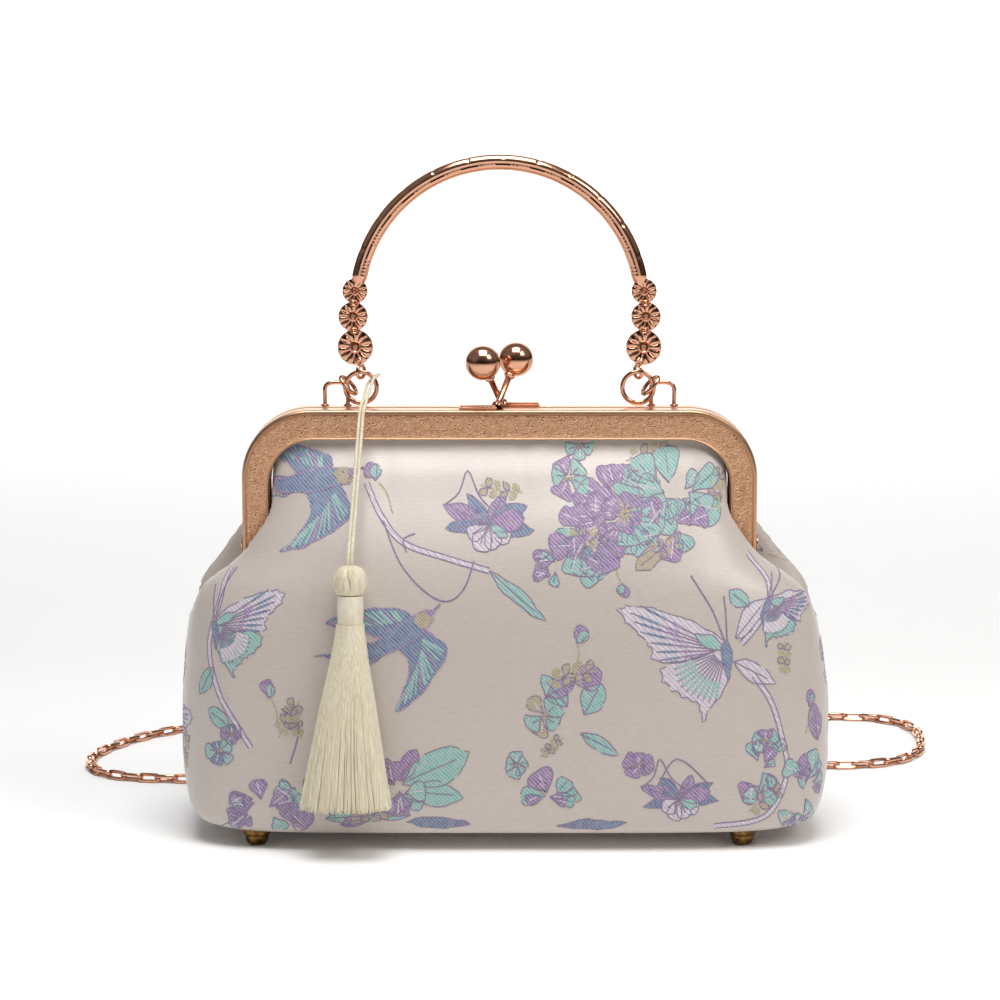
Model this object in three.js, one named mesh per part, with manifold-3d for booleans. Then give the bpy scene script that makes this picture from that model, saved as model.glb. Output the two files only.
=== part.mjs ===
// A brocade kiss-lock purse: a hollow fabric bag in a rose-gold hinged frame, with an arched top handle,
// a tassel on a cord and a shoulder chain laid behind it. Millimetres, X to the right, Y to the back, Z up.
// The bag is built about its own centre plane y = 0, and the whole is centred over its own footprint last.
import * as THREE from 'three';
import { mergeVertices } from 'three/addons/utils/BufferGeometryUtils.js';
import { LoftGeometry } from 'three/addons/geometries/LoftGeometry.js';
import Module from 'manifold-3d';

const wasm = await Module();
wasm.setup();

// Clearance between pieces that touch on the real purse
const gap = 0.3;

// Fabric bag
const bagWidth = 228;
const bagDepth = 83;
const clothWall = 2;
const sideLean = 2;
const clampOverhang = 2.6;
const tuckClear = 1.1;
const tuckSlope = 3.5;

// Metal frame of two channel halves
const frameWidth = 180;
const frameTop = 149.6;
const frameBar = 10.6;
const frameArm = 9.4;
const frameArmEnd = 97.5;
const frameHalfDepth = 8;
const frameWall = 1.2;
const frameOuterRadius = 24;
const frameInnerRadius = 16;
const frameRounding = 1.8;
const hingeRise = 4;
const hingePinRadius = 1.4;
const hingeHeadRadius = 3.4;
const hingeHeadThick = 0.8;
const hingePinLength = 6;

// Feet
const footHeight = 5.8;
const footRadius = 4.8;
const footTipRadius = 2.6;
const footDomeShare = 0.72;
const footSpreadX = 169;
const footSpreadY = 56;

// Kiss lock
const ballRadius = 6.15;
const ballAcross = 11.6;
const ballForeAft = 11.4;
const ballHeight = 16.3;
const lockPlateLength = 13.2;
const lockPlateHeight = 1.3;
const lockPlateDepth = 4.4;
const lockPlateMiddle = 7.5;
const lockStemRadius = 1.25;
const lockCollarRadius = 1.9;
const lockCollarLength = 1.5;
const lockCollarSunk = 0.6;
const lockStemInset = 0.9;

// Rings, ears and links that carry the handle
const ringRadius = 5.5;
const ringWire = 0.85;
const ringSpacing = 97.2;
const ringStagger = 1.1;
const earWire = 0.75;
const earHeight = 8.5;
const earLength = 8.2;
const earFromRing = 12.8;
const earBend = 2.2;
const earFoot = 2.5;
const earSplay = 0.2;
const linkWire = 0.75;
const linkLength = 9.3;
const linkWidth = 7.2;
const linkTurn = 48;
const linkTilt = 17;
const linkDrop = 0.7;
const linkInwards = 0.2;
const linkForwards = 0.5;

// Handle
const archTop = 237.7;
const archSeat = 0.9;
const archTube = 5.5;
const archDepth = 5;
const eyeWire = 0.65;
const eyeRadius = 2.2;
const eyeTurn = 35;
const discThick = 2.6;
const discBevel = 0.7;
const discFlute = 0.955;
const discOverlap = 0.8;
const discLift = 2.4;
const discRadius = 6.3;
const neckRadius = 1.3;
const neckOut = 1;
const neckSunk = 2.3;

// Tassel
const cordRadius = 0.55;
const tasselHeadTop = 100.2;
const tasselHeadLength = 10;
const tasselHeadRadius = 5.5;
const tasselBandLength = 9.5;
const tasselBandRadius = 4.5;
const tasselSkirtLength = 62;
const tasselSkirtWidth = 30.4;
const tasselOut = 2.2;
const tasselSunk = 1.6;
const tasselStep = 1;

// Shoulder chain
const chainRadius = 1.9;
const stapleRadius = 3.6;
const stapleWire = 0.75;
const stapleStretch = 1.2;
const stapleSpacing = 132;

// How far a cutting shape runs past what it cuts
const past = 1;

// Heights and planes that follow from the sizes above
const bagBase = footHeight + gap;
const frameLow = frameTop - frameBar;
const bagTop = frameLow - gap;
const bagHeight = bagTop - bagBase;
const halfMiddle = gap + frameHalfDepth / 2;
const frameDeep = gap + frameHalfDepth;
const ringPlane = halfMiddle - ringStagger;
const earPlane = halfMiddle + ringStagger;
const ringHeight = frameTop + gap + ringRadius + ringWire;
const swingHeight = ringHeight + ringRadius;
const tuckReach = frameDeep + 2 * gap;
const tuckFloor = frameWidth / 2 - frameArm - tuckClear;

// Sections of the bag from base to mouth. height is a share of bagHeight, front, back and floor are shares
// of half the bag's width (front lobe, back lobe and bottom of the side tuck), depth is a share of half its
// depth, square is the power of the rounded outline, and lean is a share of sideLean.
const tuckShare = tuckFloor / (bagWidth / 2);
const bagSections = [
  { height: 0, front: 0.9, back: 0.9, depth: 0.9, square: 5.5, tuck: 0, lean: 1 },
  { height: 0.009, front: 0.936, back: 0.936, depth: 0.94, square: 5.2, tuck: 0, lean: 1 },
  { height: 0.03, front: 0.963, back: 0.963, depth: 0.97, square: 5, tuck: 0, lean: 1 },
  { height: 0.08, front: 0.984, back: 0.984, depth: 0.99, square: 4.5, tuck: 0, lean: 1 },
  { height: 0.178, front: 1, back: 1, depth: 1, square: 3.7, tuck: 0, lean: 1 },
  { height: 0.312, front: 1, back: 1, depth: 0.995, square: 3.4, tuck: 0, lean: 1 },
  { height: 0.418, front: 0.99, back: 0.99, depth: 0.976, square: 3.3, tuck: 0, lean: 0.9 },
  { height: 0.524, front: 0.972, back: 0.974, depth: 0.924, square: 3.3, tuck: 0, lean: 0.7 },
  { height: 0.592, front: 0.95, back: 0.957, depth: 0.868, square: 3.3, tuck: 0.22, lean: 0.6 },
  { height: 0.64, front: 0.906, back: 0.925, depth: 0.82, square: 3.4, tuck: 0.62, lean: 0.4 },
  { height: 0.672, front: 0.852, back: 0.893, depth: 0.782, square: 3.5, tuck: 1, lean: 0.3 },
  { height: 0.706, front: 0.8, back: 0.862, depth: 0.735, square: 3.6, tuck: 1, lean: 0.1 },
  { height: 0.759, front: 0.756, back: 0.818, depth: 0.65, square: 3.7, tuck: 1, lean: 0 },
  { height: 0.812, front: 0.721, back: 0.775, depth: 0.552, square: 3.8, tuck: 1, lean: 0 },
  { height: 0.865, front: 0.704, back: 0.735, depth: 0.44, square: 3.9, tuck: 1, lean: 0 },
  { height: 0.918, front: 0.697, back: 0.702, depth: 0.33, square: 4, tuck: 1, lean: 0 },
  { height: 1, front: 0.694, back: 0.694, depth: 0.162, square: 4, tuck: 1, lean: 0 },
];

// Rosettes of the handle's cast ends from the eye up: radius and offset outwards, as shares of discRadius
const rosetteShares = [
  { radius: 1, out: 0.3 },
  { radius: 0.833, out: 0.413 },
  { radius: 0.714, out: 0.3 },
];

// Each rosette's real sizes, with its rise above the swing line, stacked so that they overlap
const rosettes = [];
let stackTop = discLift + discOverlap;
for (const share of rosetteShares) {
  const radius = share.radius * discRadius;
  rosettes.push({ radius, rise: stackTop - discOverlap + radius, out: share.out * discRadius });
  stackTop += 2 * radius - discOverlap;
}

// The tassel's skirt: drop is a share of its length, half width and half depth are shares of half its
// width, side and forward are how far its middle has moved, as shares of its width
const skirtSections = [
  { drop: 0, width: 0.29, depth: 0.28, side: 0, forward: 0.1 },
  { drop: 0.16, width: 0.38, depth: 0.32, side: 0.01, forward: 0.26 },
  { drop: 0.42, width: 0.585, depth: 0.38, side: 0.045, forward: 0.43 },
  { drop: 0.72, width: 0.8, depth: 0.42, side: 0.085, forward: 0.52 },
  { drop: 1, width: 1, depth: 0.45, side: 0.11, forward: 0.54 },
];

// The chain's route on each side, from the staple on the frame's back down the bag and round on the floor
const chainRouteLeft = [
  [-66, 11.4, 143.2], [-66.3, 13.2, 135], [-66.8, 17.2, 125], [-67.5, 23, 114], [-68, 30.6, 100],
  [-68.6, 37.4, 85], [-69, 41.8, 66], [-69.4, 44.2, 46], [-70, 45, 28], [-72, 46.5, 13], [-77, 50, 4.8],
  [-86, 54, 2], [-100, 57.5, 2], [-118, 60.5, 2], [-138, 63.6, 2], [-150.5, 71, 2], [-157, 85, 2],
  [-156, 103, 2], [-149, 121, 2], [-139, 136, 2], [-125, 148, 2], [-106, 157, 2], [-80, 162, 2],
  [-45, 165, 2], [-0.2, 166, 2],
];
const chainRouteRight = [
  [66, 11.4, 143.2], [66.3, 13.2, 135], [66.8, 17.2, 125], [67.5, 23, 114], [68, 30.6, 100],
  [68.8, 37.4, 85], [69.4, 41.8, 66], [70, 44.2, 46], [71, 45.2, 28], [74, 48, 13], [80, 54, 4.8],
  [88, 61, 2], [98, 70, 2], [110, 78.5, 2], [125, 83, 2], [141, 85, 2], [154, 92, 2], [163, 106, 2],
  [166.5, 124, 2], [167, 142, 2], [162, 158, 2], [150, 167.5, 2], [132, 169.5, 2], [100, 168.5, 2],
  [50, 167, 2], [0.2, 166, 2],
];

// The tassel cord's route: up from the tassel, once round the left ring's wire and back down beside itself
const cordRoute = [
  [-50.3, -39.3, 100.55], [-50.3, -38.9, 103.2], [-50, -36.6, 107.5], [-49.2, -28.6, 119.5],
  [-48.3, -19.2, 133.6],
  [-47.6, -11.6, 145], [-47.4, -9.5, 148.2], [-47, -8.1, 150.1], [-45.9, -4.2, 154.2], [-44.7, -0.4, 157.9],
  [-44.1, 0.9, 159.5], [-42.8, 1.6, 160.5], [-42.2, 3.2, 160.9], [-42.8, 4.8, 160.5], [-44.1, 5.6, 159.5],
  [-45.4, 4.9, 158.4], [-46, 3.2, 157.9], [-46.5, 1.4, 157.2], [-47.1, -2.2, 154.8], [-48, -6.4, 151.6],
  [-48.4, -8.4, 149.9], [-48.7, -9.6, 147.8], [-48.9, -11.6, 144.6], [-49.6, -19.2, 133.2],
  [-50.5, -28.6, 119.1],
  [-51.3, -36.6, 107.1], [-51.5, -38.9, 102.8], [-51.5, -39.3, 100.55],
];

const roseGold = () => new THREE.MeshStandardMaterial({ color: 0xd9a183, roughness: 0.3, metalness: 1 });
const satinGold = () => new THREE.MeshStandardMaterial({ color: 0xd3a27f, roughness: 0.5, metalness: 1 });
const brocade = () => new THREE.MeshStandardMaterial({ color: 0xd9d1c8, roughness: 0.6, metalness: 0 });
const silk = () => new THREE.MeshStandardMaterial({ color: 0xefe8d8, roughness: 0.7, metalness: 0 });

// Turns a closed geometry into a solid that can be joined and cut
function solid(geometry) {
  const bare = geometry.index ? geometry.toNonIndexed() : geometry.clone();
  bare.deleteAttribute('normal');
  bare.deleteAttribute('uv');
  const merged = mergeVertices(bare, 1e-4);
  return new wasm.Manifold(new wasm.Mesh({
    numProp: 3,
    vertProperties: new Float32Array(merged.attributes.position.array),
    triVerts: new Uint32Array(merged.index.array),
  }));
}

// Makes a geometry from a solid again
function shell(body) {
  const mesh = body.getMesh();
  const geometry = new THREE.BufferGeometry();
  geometry.setAttribute('position', new THREE.BufferAttribute(new Float32Array(mesh.vertProperties), 3));
  geometry.setIndex(new THREE.BufferAttribute(new Uint32Array(mesh.triVerts), 1));
  geometry.computeVertexNormals();
  return geometry;
}

function joined(geometries) {
  return geometries.map(solid).reduce((whole, next) => whole.add(next));
}

function piece(name, geometry, material) {
  const mesh = new THREE.Mesh(geometry, material);
  mesh.name = name;
  return mesh;
}

function boxBetween(low, high) {
  const size = high.map((value, axis) => value - low[axis]);
  const middle = high.map((value, axis) => (value + low[axis]) / 2);
  return new THREE.BoxGeometry(...size).translate(...middle);
}

// A round bar from one point to another
function bar(from, to, radius, sides = 12) {
  const start = new THREE.Vector3(...from);
  const along = new THREE.Vector3(...to).sub(start);
  const upright = new THREE.Vector3(0, 1, 0);
  const turn = new THREE.Quaternion().setFromUnitVectors(upright, along.clone().normalize());
  return new THREE.CylinderGeometry(radius, radius, along.length(), sides)
    .applyQuaternion(turn)
    .translate(...start.addScaledVector(along, 0.5).toArray());
}

// A round wire that follows a smooth path through points
function wire(points, radius, sides, steps, type = 'centripetal') {
  const path = new THREE.CatmullRomCurve3(points.map((point) => new THREE.Vector3(...point)), false, type);
  const section = new THREE.Shape();
  section.absarc(0, 0, radius, 0, 2 * Math.PI, false);
  return new THREE.ExtrudeGeometry(section, {
    steps, curveSegments: sides / 2, bevelEnabled: false, extrudePath: path,
  });
}

// The upright U outline of the frame in the X-Z plane, filled in, inset by a margin
function frameOutline(margin, halfWidth, top, radius, bottom) {
  const side = halfWidth - margin;
  const upper = top - margin;
  const corner = radius - margin;
  const outline = new THREE.Shape();
  outline.moveTo(-side, bottom);
  outline.lineTo(side, bottom);
  outline.lineTo(side, upper - corner);
  outline.absarc(side - corner, upper - corner, corner, 0, Math.PI / 2, false);
  outline.lineTo(-side + corner, upper);
  outline.absarc(-side + corner, upper - corner, corner, Math.PI / 2, Math.PI, false);
  outline.lineTo(-side, bottom);
  return outline;
}

// Extrudes an X-Z outline through a thickness that starts at the plane y = near
function slab(outline, near, thickness, bevel = 0, bevelSegments = 2) {
  const geometry = new THREE.ExtrudeGeometry(outline, {
    depth: thickness - 2 * bevel, steps: 1, curveSegments: 4, bevelEnabled: bevel > 0,
    bevelThickness: bevel, bevelSize: bevel, bevelOffset: -bevel, bevelSegments,
  });
  return geometry.rotateX(Math.PI / 2).translate(0, near + thickness - bevel, 0);
}

// One ring of the bag's surface, from the table row, inset by the cloth's thickness
function bagRing(row, height, inset) {
  const half = bagWidth / 2;
  const deep = row.depth * bagDepth / 2 - inset;
  const reach = tuckReach + inset;
  const flank = Math.min(reach + tuckSlope, 0.85 * deep);
  const edge = Math.min(reach, 0.6 * deep);
  const valleyDepths = [0, edge, (edge + flank) / 2, flank];
  const power = 2 / row.square;
  const start = Math.asin((flank / deep) ** (1 / power));
  const spread = 6;
  const angles = valleyDepths.slice(0, -1).map((depth) => Math.asin((depth / deep) ** (1 / power)));
  for (let step = 0; step <= spread; step += 1) {
    angles.push(start + (Math.PI / 2 - start) * (step / spread));
  }
  const quarter = (side, face) => angles.map((angle, index) => {
    const wide = (face < 0 ? row.front : row.back) * half - inset;
    const across = wide * Math.cos(angle) ** power;
    const valley = row.tuck * Math.max(0, across - (tuckShare * half - inset));
    const share = index <= 1 ? 1 : (index === 2 ? 0.5 : 0);
    return new THREE.Vector3(
      side * (across - valley * share) + row.lean * sideLean,
      face * deep * Math.sin(angle) ** power,
      height,
    );
  });
  const frontRight = quarter(1, -1);
  const backRight = quarter(1, 1);
  const frontLeft = quarter(-1, -1);
  const backLeft = quarter(-1, 1);
  return [
    ...backRight.slice(0, -1),
    ...backLeft.slice(1).reverse(),
    ...frontLeft.slice(0, -1),
    ...frontRight.slice(1).reverse(),
  ];
}

function bagLoft(inset, rise) {
  const sections = bagSections.map((row, index) => {
    const last = index === bagSections.length - 1;
    const lift = inset > 0 ? Math.max(0, inset - row.height * bagHeight) : 0;
    return bagRing(row, bagBase + row.height * bagHeight + lift + (last ? rise : 0), inset);
  });
  const kept = inset > 0 ? sections.filter((ring, index) => index > 6 || index % 2 === 0) : sections;
  return new LoftGeometry(kept, { capStart: true, capEnd: true });
}

// The cloth's edge that is clamped in one frame half's channel
function clampedEdge(face) {
  const inside = frameWall + 2 * gap;
  const outer = frameOutline(inside, frameWidth / 2, frameTop, frameOuterRadius, frameArmEnd);
  const inner = frameOutline(
    clampOverhang, frameWidth / 2 - frameArm, frameLow, frameInnerRadius, frameArmEnd - past,
  );
  const near = face < 0 ? -frameDeep + frameWall + gap : frameDeep - frameWall - gap - clothWall;
  return solid(slab(outer, near, clothWall)).subtract(solid(slab(inner, near - past, clothWall + 2 * past)));
}

function bagBody() {
  const slit = frameWall + 2 * gap;
  const mouth = boxBetween([-bagWidth, -slit, frameArmEnd - past], [bagWidth, slit, frameTop]);
  const body = solid(bagLoft(0, 0))
    .subtract(solid(bagLoft(clothWall, 1)))
    .subtract(solid(mouth))
    .add(clampedEdge(-1))
    .add(clampedEdge(1));
  return piece('bag_body', shell(body), brocade());
}

function hingeBore() {
  const inner = frameWidth / 2 - frameArm - past;
  return [-1, 1].map((side) => solid(bar(
    [side * inner, 0, frameArmEnd + hingeRise], [side * (frameWidth / 2 + past), 0, frameArmEnd + hingeRise],
    hingePinRadius + gap,
  )));
}

// One half of the frame: a channel bent to an upright U, open towards the cloth
function frameHalf(name, face) {
  const near = face < 0 ? -frameDeep : gap;
  const outer = frameOutline(0, frameWidth / 2, frameTop, frameOuterRadius, frameArmEnd);
  const inner = frameOutline(0, frameWidth / 2 - frameArm, frameLow, frameInnerRadius, frameArmEnd - past);
  const groove = frameOutline(frameWall, frameWidth / 2, frameTop, frameOuterRadius, frameArmEnd - past);
  let half = solid(slab(outer, near, frameHalfDepth, frameRounding))
    .subtract(solid(slab(inner, near - past, frameHalfDepth + 2 * past)))
    .subtract(solid(slab(groove, near + frameWall, frameHalfDepth - 2 * frameWall)));
  for (const bore of hingeBore()) {
    half = half.subtract(bore);
  }
  return piece(name, shell(half), satinGold());
}

// The rivet that joins the two arms of the frame on one side
function hingePin(name, side) {
  const outside = frameWidth / 2 + gap;
  const height = frameArmEnd + hingeRise;
  const root = outside + hingeHeadThick / 2;
  const shank = bar([side * (outside - hingePinLength), 0, height], [side * root, 0, height], hingePinRadius);
  const tip = outside + hingeHeadThick;
  const head = bar([side * outside, 0, height], [side * tip, 0, height], hingeHeadRadius, 14);
  return piece(name, shell(joined([shank, head])), roseGold());
}

// A foot: a domed stud with a small flat tip
function foot(name, x, y) {
  const profile = [new THREE.Vector2(0, 0), new THREE.Vector2(footTipRadius, 0)];
  for (let step = 1; step <= 4; step += 1) {
    const angle = (step / 4) * Math.PI / 2;
    profile.push(new THREE.Vector2(
      footTipRadius + (footRadius - footTipRadius) * Math.sin(angle),
      footDomeShare * footHeight * (1 - Math.cos(angle)),
    ));
  }
  profile.push(new THREE.Vector2(footRadius, footHeight), new THREE.Vector2(0, footHeight));
  const mesh = piece(name, new THREE.LatheGeometry(profile, 14).rotateX(Math.PI / 2), roseGold());
  mesh.position.set(x, y, 0);
  return mesh;
}

// One side of the kiss lock: a rail on a frame half, a leaning stem, its collar and its ball
function lockHalf(name, face) {
  const side = -face;
  const y = face * halfMiddle;
  const base = frameTop + gap;
  const ball = new THREE.Vector3(side * ballAcross / 2, -face * ballForeAft / 2, frameTop + ballHeight);
  const root = new THREE.Vector3(-side * lockStemInset, y, base + lockPlateHeight / 2);
  const lean = ball.clone().sub(root).normalize();
  const collarTop = ball.clone().addScaledVector(lean, -ballRadius + lockCollarSunk);
  const collarLow = ball.clone().addScaledVector(lean, -ballRadius + lockCollarSunk - lockCollarLength);
  const middle = -side * lockPlateMiddle;
  const parts = [
    boxBetween(
      [middle - lockPlateLength / 2, y - lockPlateDepth / 2, base],
      [middle + lockPlateLength / 2, y + lockPlateDepth / 2, base + lockPlateHeight],
    ),
    bar(root.toArray(), collarTop.toArray(), lockStemRadius, 10),
    bar(collarLow.toArray(), collarTop.toArray(), lockCollarRadius, 12),
    new THREE.SphereGeometry(ballRadius, 16, 10).translate(...ball.toArray()),
  ];
  return piece(name, shell(joined(parts)), roseGold());
}

// The wire ear on the back half of the frame that the link hangs on
function ear(name, side) {
  const low = frameTop + gap;
  const high = low + earHeight - earWire;
  const outer = ringSpacing / 2 + earFromRing;
  const inner = outer - earLength;
  const corner = earBend * (1 - Math.SQRT1_2);
  const points = [
    [outer, low], [outer, low + earFoot], [outer, high - earBend], [outer - corner, high - corner],
    [outer - earBend, high], [inner + earBend, high], [inner + corner, high - corner],
    [inner, high - earBend], [inner + earSplay / 2, low + earFoot], [inner + earSplay, low],
  ].map(([x, z]) => [side * x, earPlane, z]);
  return piece(name, wire(points, earWire, 6, 18), roseGold());
}

// The oval link between an ear and its ring
function link(name, side) {
  const middle = [
    side * (ringSpacing / 2 + earFromRing - earLength - linkInwards), halfMiddle - linkForwards,
    frameTop + gap + earHeight - earWire - linkDrop,
  ];
  const oval = new THREE.TorusGeometry(1, linkWire, 6, 16);
  const place = oval.attributes.position;
  for (let index = 0; index < place.count; index += 1) {
    const point = new THREE.Vector3().fromBufferAttribute(place, index);
    const centre = new THREE.Vector3(point.x, point.y, 0).normalize();
    const offset = point.clone().sub(centre);
    centre.x *= linkLength / 2 - linkWire;
    centre.y *= linkWidth / 2 - linkWire;
    place.setXYZ(index, centre.x + offset.x, centre.y + offset.y, offset.z);
  }
  const geometry = oval
    .rotateX(THREE.MathUtils.degToRad(linkTilt))
    .rotateY(side * THREE.MathUtils.degToRad(-linkTurn));
  const mesh = piece(name, geometry, roseGold());
  mesh.position.set(...middle);
  return mesh;
}

// The big ring in the plane of the frame
function ring(name, side) {
  const geometry = new THREE.TorusGeometry(ringRadius, ringWire, 6, 22).rotateX(Math.PI / 2);
  const mesh = piece(name, geometry, roseGold());
  mesh.position.set(side * ringSpacing / 2, ringPlane, ringHeight);
  return mesh;
}

// A fluted disc that faces forwards
function rosette(radius) {
  const petals = 8;
  const outline = new THREE.Shape();
  for (let index = 0; index < 2 * petals; index += 1) {
    const angle = (index / (2 * petals)) * 2 * Math.PI;
    const reach = radius * (index % 2 === 0 ? 1 : discFlute);
    const point = [reach * Math.cos(angle), reach * Math.sin(angle)];
    if (index === 0) {
      outline.moveTo(...point);
    } else {
      outline.lineTo(...point);
    }
  }
  return slab(outline, -discThick / 2, discThick, discBevel, 1);
}

// The handle: a half-round arch soldered to two cast ends of rosettes, each with an eye round its ring
function handle() {
  const section = new THREE.Shape();
  section.absellipse(0, 0, archDepth / 2, archTube / 2, 0, 2 * Math.PI, false);
  const seat = rosettes[rosettes.length - 1];
  const seatAcross = ringSpacing / 2 + seat.out - archSeat;
  const rise = archTop - archTube / 2 - (swingHeight + seat.rise);
  const centreline = (seatAcross ** 2 + rise ** 2) / (2 * rise);
  const archCentre = archTop - archTube / 2 - centreline;
  const sweep = Math.asin((swingHeight + seat.rise - archCentre) / centreline);
  const points = [];
  for (let step = 0; step <= 16; step += 1) {
    const angle = sweep + (Math.PI - 2 * sweep) * (step / 16);
    const height = archCentre + centreline * Math.sin(angle);
    points.push(new THREE.Vector3(centreline * Math.cos(angle), 0, height));
  }
  const arch = new THREE.ExtrudeGeometry(section, {
    steps: 26, curveSegments: 4, bevelEnabled: false, extrudePath: new THREE.CatmullRomCurve3(points),
  });
  const parts = [arch.translate(0, ringPlane, 0)];
  for (const side of [-1, 1]) {
    for (const disc of rosettes) {
      parts.push(rosette(disc.radius).translate(
        side * (ringSpacing / 2 + disc.out), ringPlane, swingHeight + disc.rise,
      ));
    }
    parts.push(new THREE.TorusGeometry(eyeRadius, eyeWire, 6, 14)
      .rotateY(Math.PI / 2)
      .rotateZ(side * THREE.MathUtils.degToRad(eyeTurn))
      .translate(side * ringSpacing / 2, ringPlane, swingHeight));
    parts.push(bar(
      [side * ringSpacing / 2, ringPlane, swingHeight + eyeRadius],
      [side * (ringSpacing / 2 + neckOut), ringPlane, swingHeight + discLift + neckSunk], neckRadius, 10,
    ));
  }
  return piece('handle', shell(joined(parts)), roseGold());
}

function tasselPlace() {
  return { x: -ringSpacing / 2 - tasselOut, y: -bagDepth / 2 + tasselSunk };
}

// The head and the satin band of the tassel, turned round its axis
function turned(name, radii, top, length, x, y, material) {
  const profile = [new THREE.Vector2(0, top - length)];
  radii.forEach((radius, index) => {
    profile.push(new THREE.Vector2(radius, top - length + (length * index) / (radii.length - 1)));
  });
  profile.push(new THREE.Vector2(0, top));
  const mesh = piece(name, new THREE.LatheGeometry(profile, 14).rotateX(Math.PI / 2), material);
  mesh.position.set(x, y, 0);
  return mesh;
}

// The skirt: a core with locks of thread round it, joined to a disc under the band
function tasselSkirt(top, x, y) {
  const locks = 10;
  const coreShare = 0.84;
  const lockSunk = 0.5;
  const lockFlat = 0.8;
  const lockUneven = 0.5;
  const half = tasselSkirtWidth / 2;
  const centre = (row) => [
    x - row.side * half, y - row.forward * half, top - row.drop * tasselSkirtLength,
  ];
  const oval = (row, grow, sides) => {
    const [cx, cy, cz] = centre(row);
    const points = [];
    for (let index = 0; index < sides; index += 1) {
      const angle = (index / sides) * 2 * Math.PI;
      points.push(new THREE.Vector3(
        cx + Math.cos(angle) * row.width * half * grow, cy + Math.sin(angle) * row.depth * half * grow, cz,
      ));
    }
    return points.reverse();
  };
  const rings = skirtSections.map((row) => oval(row, coreShare, 16));
  const core = new LoftGeometry(rings, { capStart: true, capEnd: true });
  const parts = [core];
  for (let index = 0; index < locks; index += 1) {
    const angle = ((index + 0.5) / locks) * 2 * Math.PI;
    const sections = skirtSections.map((row) => {
      const [cx, cy, cz] = centre(row);
      const wide = row.width * half;
      const deep = row.depth * half;
      const reach = Math.hypot(wide * Math.sin(angle), deep * Math.cos(angle)) * Math.PI / locks;
      const points = [];
      for (let corner = 0; corner < 6; corner += 1) {
        const turn = (corner / 6) * 2 * Math.PI;
        points.push(new THREE.Vector3(
          cx + Math.cos(angle) * (wide - reach * lockSunk) + Math.cos(turn) * reach,
          cy + Math.sin(angle) * (deep - reach * lockSunk) + Math.sin(turn) * reach * lockFlat,
          cz + (row.drop === 0 ? 0 : (index % 3) * lockUneven * row.drop),
        ));
      }
      return points.reverse();
    });
    parts.push(new LoftGeometry(sections, { capStart: true, capEnd: true }));
  }
  return piece('tassel_skirt', shell(joined(parts)), silk());
}

// The hidden staple on the frame's back that one end of the chain hangs on
function chainStaple(name, side) {
  const points = [];
  for (let step = 0; step <= 8; step += 1) {
    const angle = (step / 8) * Math.PI;
    points.push([
      side * stapleSpacing / 2 + stapleRadius * Math.cos(angle),
      frameDeep + gap + stapleStretch * stapleRadius * Math.sin(angle),
      frameTop - frameBar / 2,
    ]);
  }
  return piece(name, wire(points, stapleWire, 6, 10), roseGold());
}

const purse = new THREE.Group();
purse.add(bagBody());
purse.add(frameHalf('frame_front', -1), frameHalf('frame_back', 1));
purse.add(lockHalf('lock_front', -1), lockHalf('lock_back', 1));
purse.add(handle());
for (const [label, side] of [['left', -1], ['right', 1]]) {
  purse.add(hingePin(`hinge_pin_${label}`, side));
  purse.add(ear(`ear_${label}`, side), link(`link_${label}`, side), ring(`ring_${label}`, side));
  purse.add(chainStaple(`chain_staple_${label}`, side));
  purse.add(foot(`foot_front_${label}`, side * footSpreadX / 2, -footSpreadY / 2));
  purse.add(foot(`foot_back_${label}`, side * footSpreadX / 2, footSpreadY / 2));
}
purse.add(piece('chain_left', wire(chainRouteLeft, chainRadius, 8, 38), roseGold()));
purse.add(piece('chain_right', wire(chainRouteRight, chainRadius, 8, 38), roseGold()));

// The whole is centred over the footprint of all but the tassel and its cord, which hang free
const footprint = new THREE.Box3().setFromObject(purse).getCenter(new THREE.Vector3());
purse.position.set(-footprint.x, -footprint.y, 0);

const tassel = tasselPlace();
const bandTop = tasselHeadTop - tasselHeadLength - gap;
const skirtTop = bandTop - tasselBandLength - gap;
purse.add(piece('tassel_cord', wire(cordRoute, cordRadius, 8, 48), silk()));
purse.add(turned(
  'tassel_head', [0.7, 0.86, 1, 0.94, 0.62].map((share) => share * tasselHeadRadius),
  tasselHeadTop, tasselHeadLength, tassel.x, tassel.y, silk(),
));
purse.add(turned(
  'tassel_band', [1, 0.97, 0.97, 1].map((share) => share * tasselBandRadius),
  bandTop, tasselBandLength, tassel.x, tassel.y - tasselStep, silk(),
));
purse.add(tasselSkirt(skirtTop, tassel.x, tassel.y - tasselStep));

export default purse;
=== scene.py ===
"""A brocade kiss-lock purse with an arched handle, a silk tassel and a shoulder chain, dressed on its CAD frame.

Sizes are in millimetres in the bag's own frame: X to the right, Y to the back, Z up, with the bag's centre
plane at Y = 0. The row frame is in metres, and each mesh is turned into it as its piece is finished.
"""
import logging
import math
import random
from bisect import bisect_left
from dataclasses import dataclass, field
from enum import Enum
from typing import Callable, Iterable, NamedTuple, Sequence

import bmesh
import bpy
from mathutils import Matrix, Vector, noise


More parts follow.
